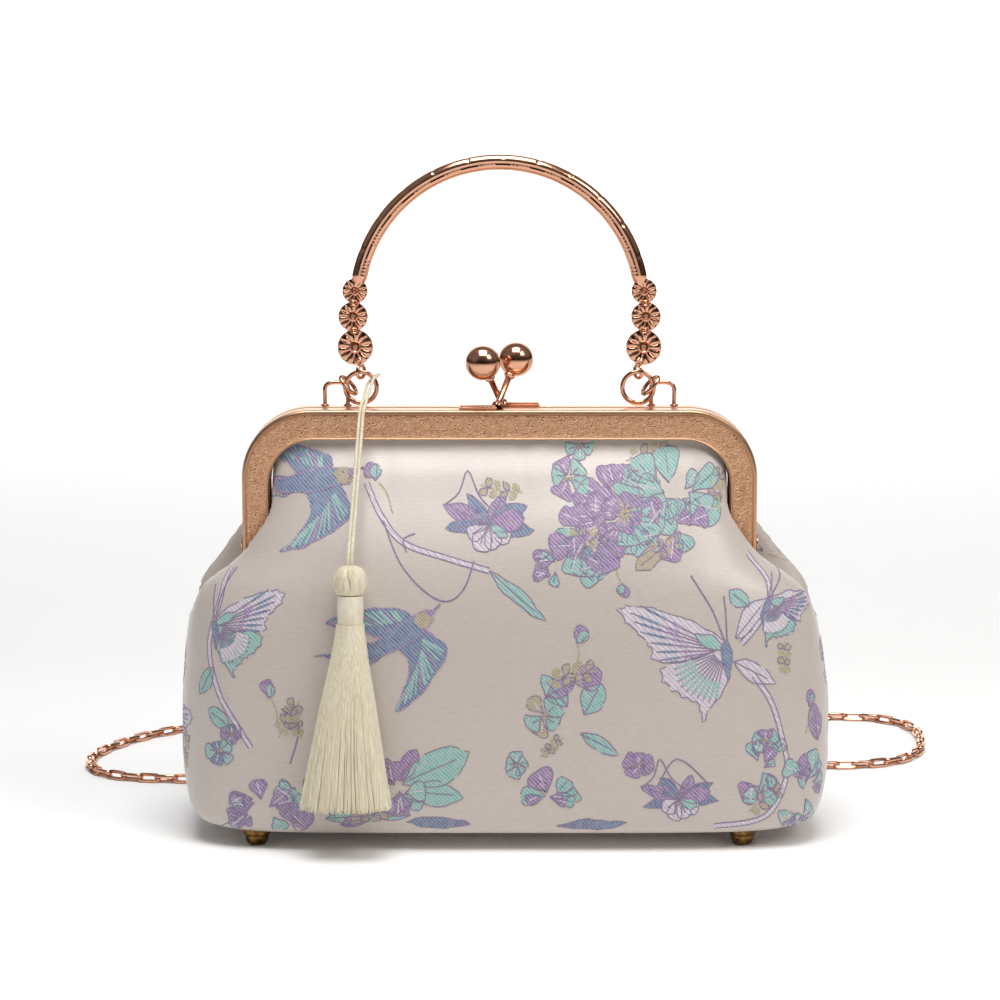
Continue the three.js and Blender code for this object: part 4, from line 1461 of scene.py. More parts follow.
def rounded_box(size: Sequence[float], middle: Sequence[float], rounding: float) -> bmesh.types.BMesh:
    """Makes a box with rounded edges.

    Args:
        size: its three sizes.
        middle: its centre.
        rounding: its edges' radius.

    Returns:
        The mesh.
    """
    bm = bmesh.new()
    bmesh.ops.create_cube(bm, size=1.0)
    bmesh.ops.transform(bm, matrix=Matrix.Translation(middle) @ Matrix.Diagonal((*size, 1.0)), verts=bm.verts)
    bmesh.ops.bevel(bm, geom=bm.edges[:], offset=rounding, affect="EDGES", segments=3, profile=0.5, material=-1)
    return bm


def towards(start: Vector, finish: Vector) -> Matrix:
    """Turns the upright axis along a line and puts its foot at the line's start."""
    return Matrix.Translation(start) @ (finish - start).to_track_quat("Z", "Y").to_matrix().to_4x4()


@dataclass
class ClaspFrame:
    """The kiss-lock frame: two channels bent to an upright U, with a rolled flange, a beaded line and a lip."""

    half_width: float = 90.0
    arm: float = 9.4
    arm_end: float = 97.5
    outer_radius: float = 24.0
    inner_radius: float = 16.0
    depth: float = 8.0
    gap: float = 0.3
    wall: float = 1.2
    flange: float = 1.65
    bead_radius: float = 0.2
    bead_pitch: float = 1.05
    pin_rise: float = 4.0

    def course(self) -> list[tuple[Vector, Vector]]:
        """Follows the frame round, with a point on its outer and its inner edge at each station.

        Returns:
            Pairs of points at depth 0, from the left arm's end to the right arm's.
        """
        top, low, half = PLAN.frame_top, PLAN.frame_low, self.half_width
        outer_corner = Vector((half - self.outer_radius, 0, top - self.outer_radius))
        inner_half = half - self.arm
        inner_corner = Vector((inner_half - self.inner_radius, 0, low - self.inner_radius))
        right = []
        for step in range(31):
            share = step / 30
            right.append((Vector((outer_corner.x * share, 0, top)), Vector((inner_corner.x * share, 0, low))))
        for step in range(1, 21):
            turn = math.pi / 2 * (1 - step / 20)
            ray = Vector((math.cos(turn), 0, math.sin(turn)))
            right.append((outer_corner + ray * self.outer_radius, inner_corner + ray * self.inner_radius))
        for step in range(1, 13):
            share = step / 12
            right.append((Vector((half, 0, outer_corner.z + (self.arm_end - outer_corner.z) * share)),
                          Vector((inner_half, 0, inner_corner.z + (self.arm_end - inner_corner.z) * share))))
        left = [(Vector((-outer.x, 0, outer.z)), Vector((-inner.x, 0, inner.z))) for outer, inner in right[1:]]
        return left[::-1] + right

    def section(self, wide: float) -> list[tuple[float, float]]:
        """Draws the channel across its bar.

        Args:
            wide: the bar's width here.

        Returns:
            Points as distance in from the outer edge and distance back from the face.
        """
        line = self.flange
        front = [(wide - 0.1, 1.0), (wide, 0.55), (wide - 0.2, 0.15), (wide - 0.42, 0.03), (wide - 0.6, 0.1),
                 (wide - 0.7, 0.2), (wide - 0.82, 0.12), (wide - 1.1, 0.08)]
        face = [(line + 0.5 + (wide - 1.9 - line) * (1 - step / 6), 0.08) for step in range(1, 7)]
        roll = [(line + 0.26, 0.12), (line + 0.14, 0.42), (line - 0.14, 0.42), (line - 0.26, 0.14),
                (line - 0.45, 0.02), (0.75, 0.05), (0.5, 0.2), (0.25, 0.5), (0.08, 1.0), (0.0, 1.7), (0.0, 4.2),
                (0.0, 6.3)]
        back = [(0.12, 7.1), (0.45, 7.7), (1.0, 8.0), (2.2, 8.0), (wide - 0.6, 8.0), (wide, 7.6), (wide - 0.1, 6.8)]
        inside = [(1.8, 6.8), (1.3, 6.3), (1.3, 1.9), (1.8, 1.35), (wide - 0.6, 1.3)]
        return front + face + roll + back + inside

    def half(self, face: int) -> bmesh.types.BMesh:
        """Bends one half of the frame.

        Args:
            face: -1 for the front half, 1 for the back.

        Returns:
            The half's mesh, its embossed face in the second material.
        """
        rings = []
        for outer, inner in self.course():
            across = inner - outer
            wide = across.length
            heading = across / wide
            ring = []
            for reach, back in self.section(wide):
                place = outer + heading * reach
                place.y = face * (self.gap + self.depth - back)
                ring.append(place)
            rings.append(ring)
        bm = loft(rings)
        columns = bm.verts.layers.int["column"]
        for woven in bm.faces:
            seats = [vert[columns] for vert in woven.verts]
            woven.material_index = 1 if 7 <= min(seats) and max(seats) <= 14 else 0
        return bm

    def beads(self, face: int) -> bmesh.types.BMesh:
        """Sets a line of tiny beads in the groove beside the flange.

        Args:
            face: -1 for the front half, 1 for the back.

        Returns:
            The beads in one mesh.
        """
        line = []
        for outer, inner in self.course():
            place = outer.lerp(inner, self.flange / (inner - outer).length)
            place.y = face * (self.gap + self.depth - 0.42)
            line.append(place)
        bm = bmesh.new()
        for place in even_steps(line, int(path_length(line) / self.bead_pitch)):
            bmesh.ops.create_icosphere(bm, subdivisions=1, radius=self.bead_radius,
                                       matrix=Matrix.Translation(place))
        return bm

    def rivet(self, side: int) -> bmesh.types.BMesh:
        """Turns the rivet that joins the two arms on one side, with its domed head."""
        profile = ((0, -6), (1.4, -6), (1.4, 0), (3.0, 0), (3.4, 0.2), (3.3, 0.5), (2.6, 0.74), (1.2, 0.8), (0, 0.8))
        place = Vector((side * (self.half_width + self.gap), 0, self.arm_end + self.pin_rise))
        return moved(lathe(profile), towards(place, place + Vector((side, 0, 0))))

    def build(self, wardrobe: Wardrobe) -> list[bpy.types.Object]:
        """Makes both halves, their beads and their rivets.

        Args:
            wardrobe: the finishes.

        Returns:
            The pieces.
        """
        pieces = []
        for name, face in (("front", -1), ("back", 1)):
            half = make_piece(f"clasp_frame_{name}", self.half(face), wardrobe.buffed,
                              replaces=[f"frame_{name}"], crease=34)
            half.data.materials.append(wardrobe.frosted)
            pieces += [half, make_piece(f"frame_beads_{name}", self.beads(face), wardrobe.buffed)]
        for name, side in SIDES.items():
            pieces.append(make_piece(f"frame_rivet_{name}", self.rivet(side), wardrobe.polished,
                                     replaces=[f"hinge_pin_{name}"]))
        return pieces


@dataclass
class KissLock:
    """The kiss lock: two balls on leaning stems that snap past each other, each on its rail."""

    ball: float = 6.15
    across: float = 11.6
    fore_aft: float = 11.4
    height: float = 16.3
    rail: float = 13.2
    rail_depth: float = 4.4
    rail_middle: float = 7.5
    teeth: int = 9

    def half(self, face: int) -> bmesh.types.BMesh:
        """Makes one rail with its stem, collar and ball.

        Args:
            face: -1 for the front half, 1 for the back.

        Returns:
            The half's mesh.
        """
        side = -face
        top = PLAN.frame_top
        plane = face * PLAN.half_middle
        ball = Vector((side * self.across / 2, -face * self.fore_aft / 2, top + self.height))
        root = Vector((-side * 0.9, plane, top + 0.7))
        turn = towards(root, ball)
        reach = (ball - root).length
        neck = reach - self.ball
        stem = ((0, 0), (2.0, 0), (2.05, 0.9), (1.5, 1.5), (1.2, 2.6), (1.1, neck * 0.5), (1.2, neck - 2.0),
                (1.35, neck - 1.5), (1.95, neck - 1.1), (2.05, neck - 0.7), (1.9, neck - 0.25), (1.5, neck + 0.1),
                (1.4, neck + 0.8), (0, neck + 0.9))
        parts = [moved(lathe(stem, 28), turn)]
        globe = bmesh.new()
        bmesh.ops.create_uvsphere(globe, u_segments=40, v_segments=24, radius=self.ball, matrix=turn
                                  @ Matrix.Translation((0, 0, reach)))
        parts.append(globe)
        middle = -side * self.rail_middle
        parts.append(rounded_box((self.rail, self.rail_depth, 0.8), (middle, plane, top + 0.45), 0.2))
        parts.append(rounded_box((self.rail - 0.8, self.rail_depth - 0.9, 0.7), (middle, plane, top + 1.15), 0.22))
        pitch = (self.rail - 2) / self.teeth
        for index in range(self.teeth):
            tooth = rounded_box((pitch * 0.6, 0.35, 0.7),
                                (middle + (index - (self.teeth - 1) / 2) * pitch, plane + face * 1.9, top + 1.1), 0.1)
            parts.append(tooth)
        return joined(parts)

    def build(self, wardrobe: Wardrobe) -> list[bpy.types.Object]:
        """Makes both halves of the lock.

        Args:
            wardrobe: the finishes.

        Returns:
            The pieces.
        """
        return [make_piece(f"kiss_lock_{name}", self.half(face), wardrobe.polished,
                           replaces=[f"lock_{name}"]) for name, face in (("front", -1), ("back", 1))]


@dataclass
class HandleRigging:
    """The ears, oval links and big rings that carry the handle."""

    ring: float = 5.5
    ring_wire: float = 0.85
    ear_wire: float = 0.8
    ear_height: float = 8.5
    ear_length: float = 8.2
    ear_from_ring: float = 12.8
    link_wire: float = 0.75
    link_length: float = 9.3
    link_width: float = 7.2
    link_turn: float = 48.0
    link_tilt: float = 17.0

    def big_ring(self, side: int) -> bmesh.types.BMesh:
        """Bends the big ring in the frame's plane."""
        centre = Vector((side * PLAN.ring_spacing / 2, PLAN.ring_plane, PLAN.ring_height))
        turns = [2 * math.pi * step / 48 for step in range(48)]
        circle = [centre + Vector((math.cos(turn), 0, math.sin(turn))) * self.ring for turn in turns]
        return wire(circle, self.ring_wire, 14, closed=True)

    def ear(self, side: int) -> bmesh.types.BMesh:
        """Bends the ear on the frame's back half, with its foot soldered on a small plate.

        Args:
            side: -1 for the left, 1 for the right.

        Returns:
            The ear's mesh.
        """
        low = PLAN.frame_top
        high = low + 0.3 + self.ear_height - 0.75
        outer = PLAN.ring_spacing / 2 + self.ear_from_ring
        inner = outer - self.ear_length
        points = [(outer, low), (outer, low + 2.8), (outer, high - 2.2), (outer - 0.64, high - 0.64),
                  (outer - 2.2, high), (inner + 2.2, high), (inner + 0.64, high - 0.64), (inner, high - 2.2),
                  (inner + 0.1, low + 2.8), (inner + 0.2, low)]
        path = smooth_path([(side * across, PLAN.ear_plane, level) for across, level in points], 44)
        band = wire(path, self.ear_wire, 14, squash=0.9)
        feet = [moved(lathe(((0, 0), (1.5, 0), (1.5, 0.35), (1.1, 0.7), (0, 0.75)), 20),
                      Matrix.Translation((side * across, PLAN.ear_plane, low - 0.05)))
                for across in (outer, inner + 0.2)]
        return joined([band, *feet])

    def link(self, side: int) -> bmesh.types.BMesh:
        """Bends the oval link between an ear and its ring.

        Args:
            side: -1 for the left, 1 for the right.

        Returns:
            The link's mesh.
        """
        long = self.link_length / 2 - 0.75
        short = self.link_width / 2 - 0.75
        turn = Matrix.Rotation(side * math.radians(-self.link_turn), 4, "Y")
        tilt = Matrix.Rotation(math.radians(self.link_tilt), 4, "X")
        middle = Vector((side * (PLAN.ring_spacing / 2 + self.ear_from_ring - self.ear_length - 0.2),
                         PLAN.half_middle - 0.5, PLAN.frame_top + 0.3 + self.ear_height - 0.75 - 0.7))
        angles = [2 * math.pi * step / 40 for step in range(40)]
        oval = [middle + turn @ tilt @ Vector((long * math.cos(angle), short * math.sin(angle), 0))
                for angle in angles]
        return wire(oval, self.link_wire, 12, closed=True)

    def build(self, wardrobe: Wardrobe) -> list[bpy.types.Object]:
        """Makes the rings, ears and links of both sides.

        Args:
            wardrobe: the finishes.

        Returns:
            The pieces.
        """
        pieces = []
        for name, side in SIDES.items():
            for label, node, make in (("big_ring", "ring", self.big_ring), ("frame_ear", "ear", self.ear),
                                      ("oval_link", "link", self.link)):
                pieces.append(make_piece(f"{label}_{name}", make(side), wardrobe.polished,
                                         replaces=[f"{node}_{name}"]))
        return pieces


class Disc(NamedTuple):
    """One rosette: its radius, its rise above the swing line and how far out from the ring it stands."""

    radius: float
    rise: float
    out: float


@dataclass
class ArchedHandle:
    """The arched handle: a grooved and diamond-cut half-round bar on two cast ends of three rosettes."""

    top: float = 237.7
    tube: float = 5.5
    depth: float = 5.0
    seat: float = 0.9
    thick: float = 2.6
    flutes: int = 13
    station: float = 0.32
    cut_pitch: float = 12.0
    cut_length: float = 1.9
    cut_depth: float = 0.13
    tick_pitch: float = 1.25
    tick_depth: float = 0.09
    end_taper: float = 4.0
    discs: tuple[Disc, ...] = (Disc(6.3, 8.7, 1.89), Disc(5.25, 19.45, 2.6), Disc(4.5, 28.39, 1.89))

    def bow(self) -> bmesh.types.BMesh:
        """Bends the arch, with its groove, its diamond cuts and its groups of ticks.

        Returns:
            The arch's mesh.
        """
        last = self.discs[-1]
        across = PLAN.ring_spacing / 2 + last.out - self.seat
        foot = PLAN.swing_height + last.rise
        rise = self.top - self.tube / 2 - foot
        radius = (across**2 + rise**2) / (2 * rise)
        centre = self.top - self.tube / 2 - radius
        sweep = math.asin((foot - centre) / radius)
        count = int(radius * (math.pi - 2 * sweep) / self.station)
        rings = []
        for step in range(count + 1):
            turn = sweep + (math.pi - 2 * sweep) * step / count
            ray = Vector((math.cos(turn), 0, math.sin(turn)))
            middle = Vector((0, PLAN.ring_plane, centre)) + ray * radius
            along = radius * (turn - sweep)
            from_end = min(along, radius * (math.pi - 2 * sweep) - along)
            slim = 0.42 + 0.58 * smoothstep((from_end - 1.5) / self.end_taper)
            rings.append([middle + ray * out * slim**0.5 + Vector((0, back * slim, 0))
                          for out, back in self.bow_section(along)])
        return loft(rings)

    def bow_section(self, along: float) -> list[tuple[float, float]]:
        """Draws the arch's section at a place along it.

        Args:
            along: millimetres from the arch's left end.

        Returns:
            Points as distance outwards and distance back.
        """
        phase = abs((along + self.cut_pitch / 2) % self.cut_pitch - self.cut_pitch / 2)
        facet = self.cut_depth * max(0.0, 1 - (phase / (self.cut_length / 2)) ** 2)
        beside = self.cut_pitch / 2 - phase
        tick = self.tick_depth if beside < 3.4 and (along / self.tick_pitch) % 1 < 0.34 else 0.0
        points = []
        for step in range(36):
            turn = 2 * math.pi * step / 36
            out = self.tube / 2 * math.cos(turn)
            back = self.depth / 2 * math.sin(turn)
            trim = 0.0
            if out > 0.5:
                trim = facet * smoothstep((out - 0.5) / 1.0)
            elif out < -0.35:
                trim = tick * smoothstep(abs(back) / 0.8)
            if 17 * math.pi / 36 < min(turn, 2 * math.pi - turn) < 21 * math.pi / 36:
                trim = 0.2
            size = math.hypot(out, back)
            points.append((out * (1 - trim / size), back * (1 - trim / size)))
        return points

    def rosette(self, disc: Disc, side: int) -> bmesh.types.BMesh:
        """Casts one fluted rosette, the same on both faces.

        Args:
            disc: the rosette.
            side: -1 for the left end, 1 for the right.

        Returns:
            Its mesh.
        """
        middle = Vector((side * (PLAN.ring_spacing / 2 + disc.out), PLAN.ring_plane, PLAN.swing_height + disc.rise))
        shape = ((0.02, 0.5, 0), (0.13, 0.5, 0), (0.17, 0.82, 0), (0.24, 1.12, 0), (0.31, 1.1, 0), (0.35, 0.8, 0),
                 (0.42, 0.84, 0.2), (0.52, 0.94, 0.8), (0.66, 1.0, 1), (0.78, 0.98, 0.9), (0.85, 0.88, 0.3),
                 (0.9, 0.86, 0), (0.96, 0.84, 0), (1.0, 0.4, 0))
        full = [*shape, *[(reach, -half, flute) for reach, half, flute in shape[::-1]]]
        rings = []
        for reach, half, flute in full:
            ring = []
            for step in range(self.flutes * 8):
                turn = 2 * math.pi * step / (self.flutes * 8)
                wave = abs(math.cos(self.flutes * turn / 2))
                far = disc.radius * reach * (1 - (0.02 * (1 - wave) if reach > 0.9 else 0))
                deep = half * self.thick / 2 * (1 - 0.4 * flute * (1 - wave) ** 2)
                ring.append(middle + Vector((far * math.cos(turn), -deep, far * math.sin(turn))))
            rings.append(ring)
        return loft(rings)

    def joints_between(self, side: int) -> list[bmesh.types.BMesh]:
        """Casts the collars between the rosettes, the neck and the eye round the ring.

        Args:
            side: -1 for the left end, 1 for the right.

        Returns:
            Their meshes.
        """
        places = [Vector((side * (PLAN.ring_spacing / 2 + disc.out), PLAN.ring_plane,
                          PLAN.swing_height + disc.rise)) for disc in self.discs]
        parts = []
        for lower, upper, disc in zip(places, places[1:], self.discs):
            heading = (upper - lower).normalized()
            place = lower + heading * (disc.radius - 0.4)
            collar = ((0, -1.1), (1.5, -1.1), (1.95, -0.7), (1.7, -0.35), (2.1, 0), (1.7, 0.35), (1.95, 0.7),
                      (1.5, 1.1), (0, 1.1))
            parts.append(moved(lathe(collar, 20), towards(place, place + heading)))
        swing = Vector((side * PLAN.ring_spacing / 2, PLAN.ring_plane, PLAN.swing_height))
        seat = swing + Vector((0, 0, 2.3))
        neck = ((0, 0), (1.15, 0), (1.3, 0.5), (1.1, 1.1), (1.75, 1.6), (1.9, 2.1), (1.5, 2.9), (0, 3.0))
        parts.append(moved(lathe(neck, 24), towards(seat, places[0])))
        facing = Matrix.Rotation(side * math.radians(35), 4, "Z") @ Matrix.Rotation(math.pi / 2, 4, "Y")
        turns = [2 * math.pi * step / 28 for step in range(28)]
        eye = [swing + facing @ Vector((math.cos(turn), math.sin(turn), 0)) * 2.2 for turn in turns]
        parts.append(wire(eye, 0.65, 12, closed=True))
        return parts

    def build(self, wardrobe: Wardrobe) -> list[bpy.types.Object]:
        """Makes the whole handle, which swings on its rings.

        Args:
            wardrobe: the finishes.

        Returns:
            The piece, in a list.
        """
        parts = [self.bow()]
        for side in SIDES.values():
            parts += [self.rosette(disc, side) for disc in self.discs]
            parts += self.joints_between(side)
        return [make_piece("arched_handle", joined(parts), wardrobe.polished, body="handle",
                           replaces=["handle"], crease=32)]


@dataclass
class StudFeet:
    """The four turned studs that the bag stands on."""

    spread_across: float = 169.0
    spread_deep: float = 56.0

    def build(self, wardrobe: Wardrobe) -> list[bpy.types.Object]:
        """Turns the four feet.

        Args:
            wardrobe: the finishes.

        Returns:
            The pieces.
        """
        profile = ((0, 0), (2.3, 0), (2.9, 0.25), (3.5, 0.9), (3.9, 1.8), (4.1, 2.9), (4.05, 3.4), (4.35, 3.6),
                   (4.75, 4.0), (4.8, 4.6), (4.8, 6.6), (0, 6.8))
        pieces = []
        for row, face in (("front", -1), ("back", 1)):
            for name, side in SIDES.items():
                place = Matrix.Translation((side * self.spread_across / 2, face * self.spread_deep / 2, 0))
                pieces.append(make_piece(f"stud_{row}_{name}", moved(lathe(profile, 36), place), wardrobe.brass,
                                         replaces=[f"foot_{row}_{name}"]))
        return pieces


# The shoulder chain


CHAIN_LEFT = (
    (-66, 11.4, 143.2), (-66.3, 13.2, 135), (-66.8, 17.2, 125), (-67.5, 23, 114), (-68, 30.6, 100),
    (-68.6, 37.4, 85), (-69, 41.8, 66), (-69.4, 44.2, 46), (-70, 45, 28), (-72, 46.5, 13), (-77, 50, 4.8),
    (-86, 54, 2), (-100, 57.5, 2), (-118, 60.5, 2), (-138, 63.6, 2), (-150.5, 71, 2), (-157, 85, 2),
    (-156, 103, 2), (-149, 121, 2), (-139, 136, 2), (-125, 148, 2), (-106, 157, 2), (-80, 162, 2),
    (-45, 165, 2), (-0.2, 166, 2),
)
CHAIN_RIGHT = (
    (66, 11.4, 143.2), (66.3, 13.2, 135), (66.8, 17.2, 125), (67.5, 23, 114), (68, 30.6, 100),
    (68.8, 37.4, 85), (69.4, 41.8, 66), (70, 44.2, 46), (71, 45.2, 28), (74, 48, 13), (80, 54, 4.8),
    (88, 61, 2), (98, 70, 2), (110, 78.5, 2), (125, 83, 2), (141, 85, 2), (154, 92, 2), (163, 106, 2),
    (166.5, 124, 2), (167, 142, 2), (162, 158, 2), (150, 167.5, 2), (132, 169.5, 2), (100, 168.5, 2),
    (50, 167, 2), (0.2, 166, 2),
)


@dataclass
class ShoulderChain:
    """The shoulder chain: long oval links that turn a quarter from one to the next, laid out behind the bag."""

    length: float = 9.4
    width: float = 4.2
    wire: float = 0.72
    pitch: float = 6.7
    sink: float = 0.35
    sides: int = 6

    def link(self, middle: Vector, along: Vector, roll: float) -> bmesh.types.BMesh:
        """Bends one link.

        Args:
            middle: its centre.
            along: the way that the chain runs there.
            roll: its turn about that line, in degrees.

        Returns:
            The link's mesh.
        """
        half = self.length / 2 - self.wire
        short = self.width / 2 - self.wire
        straight = half - short
        oval = []
        for end in (1, -1):
            for step in range(7):
                turn = math.pi * (step / 6 - 0.5)
                oval.append(Vector((end * short * math.sin(turn), 0, end * (straight + short * math.cos(turn)))))
        turn = towards(middle, middle + along) @ Matrix.Rotation(math.radians(roll), 4, "Z")
        return wire([turn @ point for point in oval], self.wire, self.sides, closed=True)

    def strand(self, route: Sequence[Sequence[float]]) -> bmesh.types.BMesh:
        """Lays the links of one side along its route.

        Args:
            route: the chosen points of the route.

        Returns:
            All its links in one mesh.
        """
        dense = smooth_path(route, 400)
        count = round(path_length(dense) / self.pitch)
        line = even_steps(dense, 2 * count)
        links = []
        for index in range(count):
            middle = line[2 * index + 1] - Vector((0, 0, self.sink * smoothstep((9 - line[2 * index + 1].z) / 7)))
            along = (line[2 * index + 2] - line[2 * index]).normalized()
            links.append(self.link(middle, along, 45 if index % 2 else -45))
        return joined(links)

    def build(self, wardrobe: Wardrobe) -> list[bpy.types.Object]:
        """Makes both sides of the chain.

        Args:
            wardrobe: the finishes.

        Returns:
            The pieces.
        """
        for name in SIDES:
            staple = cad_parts[f"chain_staple_{name}"]
            staple.data.materials.clear()
            staple.data.materials.append(wardrobe.polished)
        return [make_piece(f"chain_links_{name}", self.strand(route), wardrobe.polished,
                           replaces=[f"chain_{name}"], crease=60)
                for name, route in (("left", CHAIN_LEFT), ("right", CHAIN_RIGHT))]


# The tassel


CORD_ROUTE = (
    (-50.3, -39.3, 100.55), (-50.3, -38.9, 103.2), (-50, -36.6, 107.5), (-49.2, -28.6, 119.5),
    (-48.3, -19.2, 133.6),
    (-47.6, -11.6, 145), (-47.4, -9.5, 148.2), (-47, -8.1, 150.1), (-45.9, -4.2, 154.2), (-44.7, -0.4, 157.9),
    (-44.1, 0.9, 159.5), (-42.8, 1.6, 160.5), (-42.2, 3.2, 160.9), (-42.8, 4.8, 160.5), (-44.1, 5.6, 159.5),
    (-45.4, 4.9, 158.4), (-46, 3.2, 157.9), (-46.5, 1.4, 157.2), (-47.1, -2.2, 154.8), (-48, -6.4, 151.6),
    (-48.4, -8.4, 149.9), (-48.7, -9.6, 147.8), (-48.9, -11.6, 144.6), (-49.6, -19.2, 133.2),
    (-50.5, -28.6, 119.1),
    (-51.3, -36.6, 107.1), (-51.5, -38.9, 102.8), (-51.5, -39.3, 100.55),
)


class SkirtRow(NamedTuple):
    """One level of the skirt: its drop as a share of the length, and shares of half the width for the rest."""

    drop: float
    width: float
    depth: float
    side: float
    forward: float


SKIRT_ROWS = (SkirtRow(0, 0.29, 0.28, 0, 0.1), SkirtRow(0.16, 0.38, 0.32, 0.01, 0.26),
              SkirtRow(0.42, 0.585, 0.38, 0.045, 0.43), SkirtRow(0.72, 0.8, 0.42, 0.085, 0.52),
              SkirtRow(1, 1, 0.45, 0.11, 0.54))


@dataclass
class SilkTassel:
    """The silk tassel: a doubled cord over the left ring, a pleated head, a satin band and a skirt of floss."""

    cord: float = 0.55
    across: float = -50.8
    forward: float = -39.9
    head_top: float = 100.2
    head_length: float = 10.0
    head: float = 5.5
    band_length: float = 9.5
    band: float = 4.5
    skirt_length: float = 62.0
    skirt_width: float = 30.4
    strands: int = 840
    strand: float = 0.33
    step_forward: float = 1.0

    def neck_cord(self) -> tuple[bmesh.types.BMesh, list[Vector]]:
        """Runs the doubled cord from the head over the ring and back.

        Returns:
            The cord's mesh and the line that it follows.
        """
        line = smooth_path(CORD_ROUTE, 220)
        return wire(line, self.cord, 10), line

    def pleated_head(self) -> bmesh.types.BMesh:
        """Folds the head: a bell of fine pleats with a V-shaped slit in front.

        Returns:
            The head's mesh.
        """
        shape = ((0, 0.3), (0.0, 0.72), (0.04, 0.84), (0.14, 0.93), (0.3, 1.0), (0.48, 1.0), (0.64, 0.96),
                 (0.78, 0.86), (0.9, 0.7), (0.97, 0.5), (1.0, 0.22))
        low = self.head_top - self.head_length
        rings = []
        for number, (share, wide) in enumerate(shape):
            ring = []
            for step in range(120):
                turn = 2 * math.pi * step / 120
                from_front = abs((turn - 1.5 * math.pi + math.pi) % (2 * math.pi) - math.pi)
                slit = math.exp(-((from_front - 0.5 * (share - 0.35)) / 0.12) ** 2) if 3 < number < 10 else 0.0
                pleat = 0.03 * math.cos(30 * turn) if 0 < number < 10 else 0.0
                reach = self.head * wide * (1 + pleat - 0.3 * slit)
                ring.append(Vector((self.across + reach * math.cos(turn), self.forward + reach * math.sin(turn),
                                    low + self.head_length * share)))
            rings.append(ring)
        return loft(rings)

    def satin_band(self) -> bmesh.types.BMesh:
        """Wraps the band: many close turns of satin thread, a little full in the middle.

        Returns:
            The band's mesh.
        """
        high = self.head_top - self.head_length - 0.1
        length = self.band_length + 0.4
        profile = [(0, 0), (self.band * 0.9, 0)]
        turns = 17
        for step in range(turns * 4 + 1):
            share = step / (turns * 4)
            wind = 0.07 * abs(math.sin(math.pi * turns * share))
            profile.append((self.band * (0.95 + 0.05 * math.sin(math.pi * share)) + wind,
                            0.15 + (length - 0.3) * share))
        profile += [(self.band * 0.9, length), (0, length)]
        place = Matrix.Translation((self.across, self.forward - self.step_forward, high - length))
        return moved(lathe(profile, 44), place)

    def floss_skirt(self) -> bmesh.types.BMesh:
        """Hangs the skirt: a core with hundreds of strands sunk in it and fanning to an even hem.

        Returns:
            The skirt's mesh.
        """
        chance = random.Random(7)
        top = self.head_top - self.head_length - self.band_length - 0.4
        half = self.skirt_width / 2
        middle_x, middle_y = self.across, self.forward - self.step_forward

        def place(turn: float, share: float, row: SkirtRow, drop: float) -> Vector:
            """Finds a point of the skirt at a turn, a share of its radius and a drop."""
            return Vector((middle_x - row.side * half + math.cos(turn) * row.width * half * share,
                           middle_y - row.forward * half + math.sin(turn) * row.depth * half * share,
                           top - drop * self.skirt_length))

        turns = [2 * math.pi * step / 48 for step in range(48)]
        parts = [loft([[place(turn, 0.9, row, row.drop * 0.985) for turn in turns] for row in SKIRT_ROWS])]
        for index in range(self.strands):
            turn = 2 * math.pi * (index + chance.uniform(-0.4, 0.4)) / self.strands * 1.0
            turn += 2.39996 * (index % 3)
            share = 0.93 + 0.05 * (index % 3) - 0.02
            if index % 5 == 0:
                share = chance.uniform(0.55, 0.9)
            hem = 1 + chance.uniform(-0.022, 0.016)
            drift = chance.uniform(-0.05, 0.05)
            line = []
            for row in SKIRT_ROWS:
                point = place(turn + drift * row.drop, share, row, row.drop * hem)
                point += Vector((chance.uniform(-0.2, 0.2), chance.uniform(-0.2, 0.2), 0)) * row.drop
                line.append(point)
            path = smooth_path(line, 9)
            parts.append(wire(path, self.strand * chance.uniform(0.85, 1.15), 5))
        return joined(parts)

    def build(self, wardrobe: Wardrobe) -> list[bpy.types.Object]:
        """Makes the tassel and its cord.

        Args:
            wardrobe: the finishes.

        Returns:
            The pieces.
        """
        mesh, line = self.neck_cord()
        cord = make_piece("neck_cord", mesh, wardrobe.floss, replaces=["tassel_cord"])
        head = make_piece("pleated_head", self.pleated_head(), wardrobe.floss, replaces=["tassel_head"],
                          crease=70)
        band = make_piece("satin_band", self.satin_band(), wardrobe.ribbon, replaces=["tassel_band"],
                          crease=70)
        skirt = make_piece("floss_skirt", self.floss_skirt(), wardrobe.floss, replaces=["tassel_skirt"],
                           crease=80)
        return [cord, head, band, skirt]


# The studio


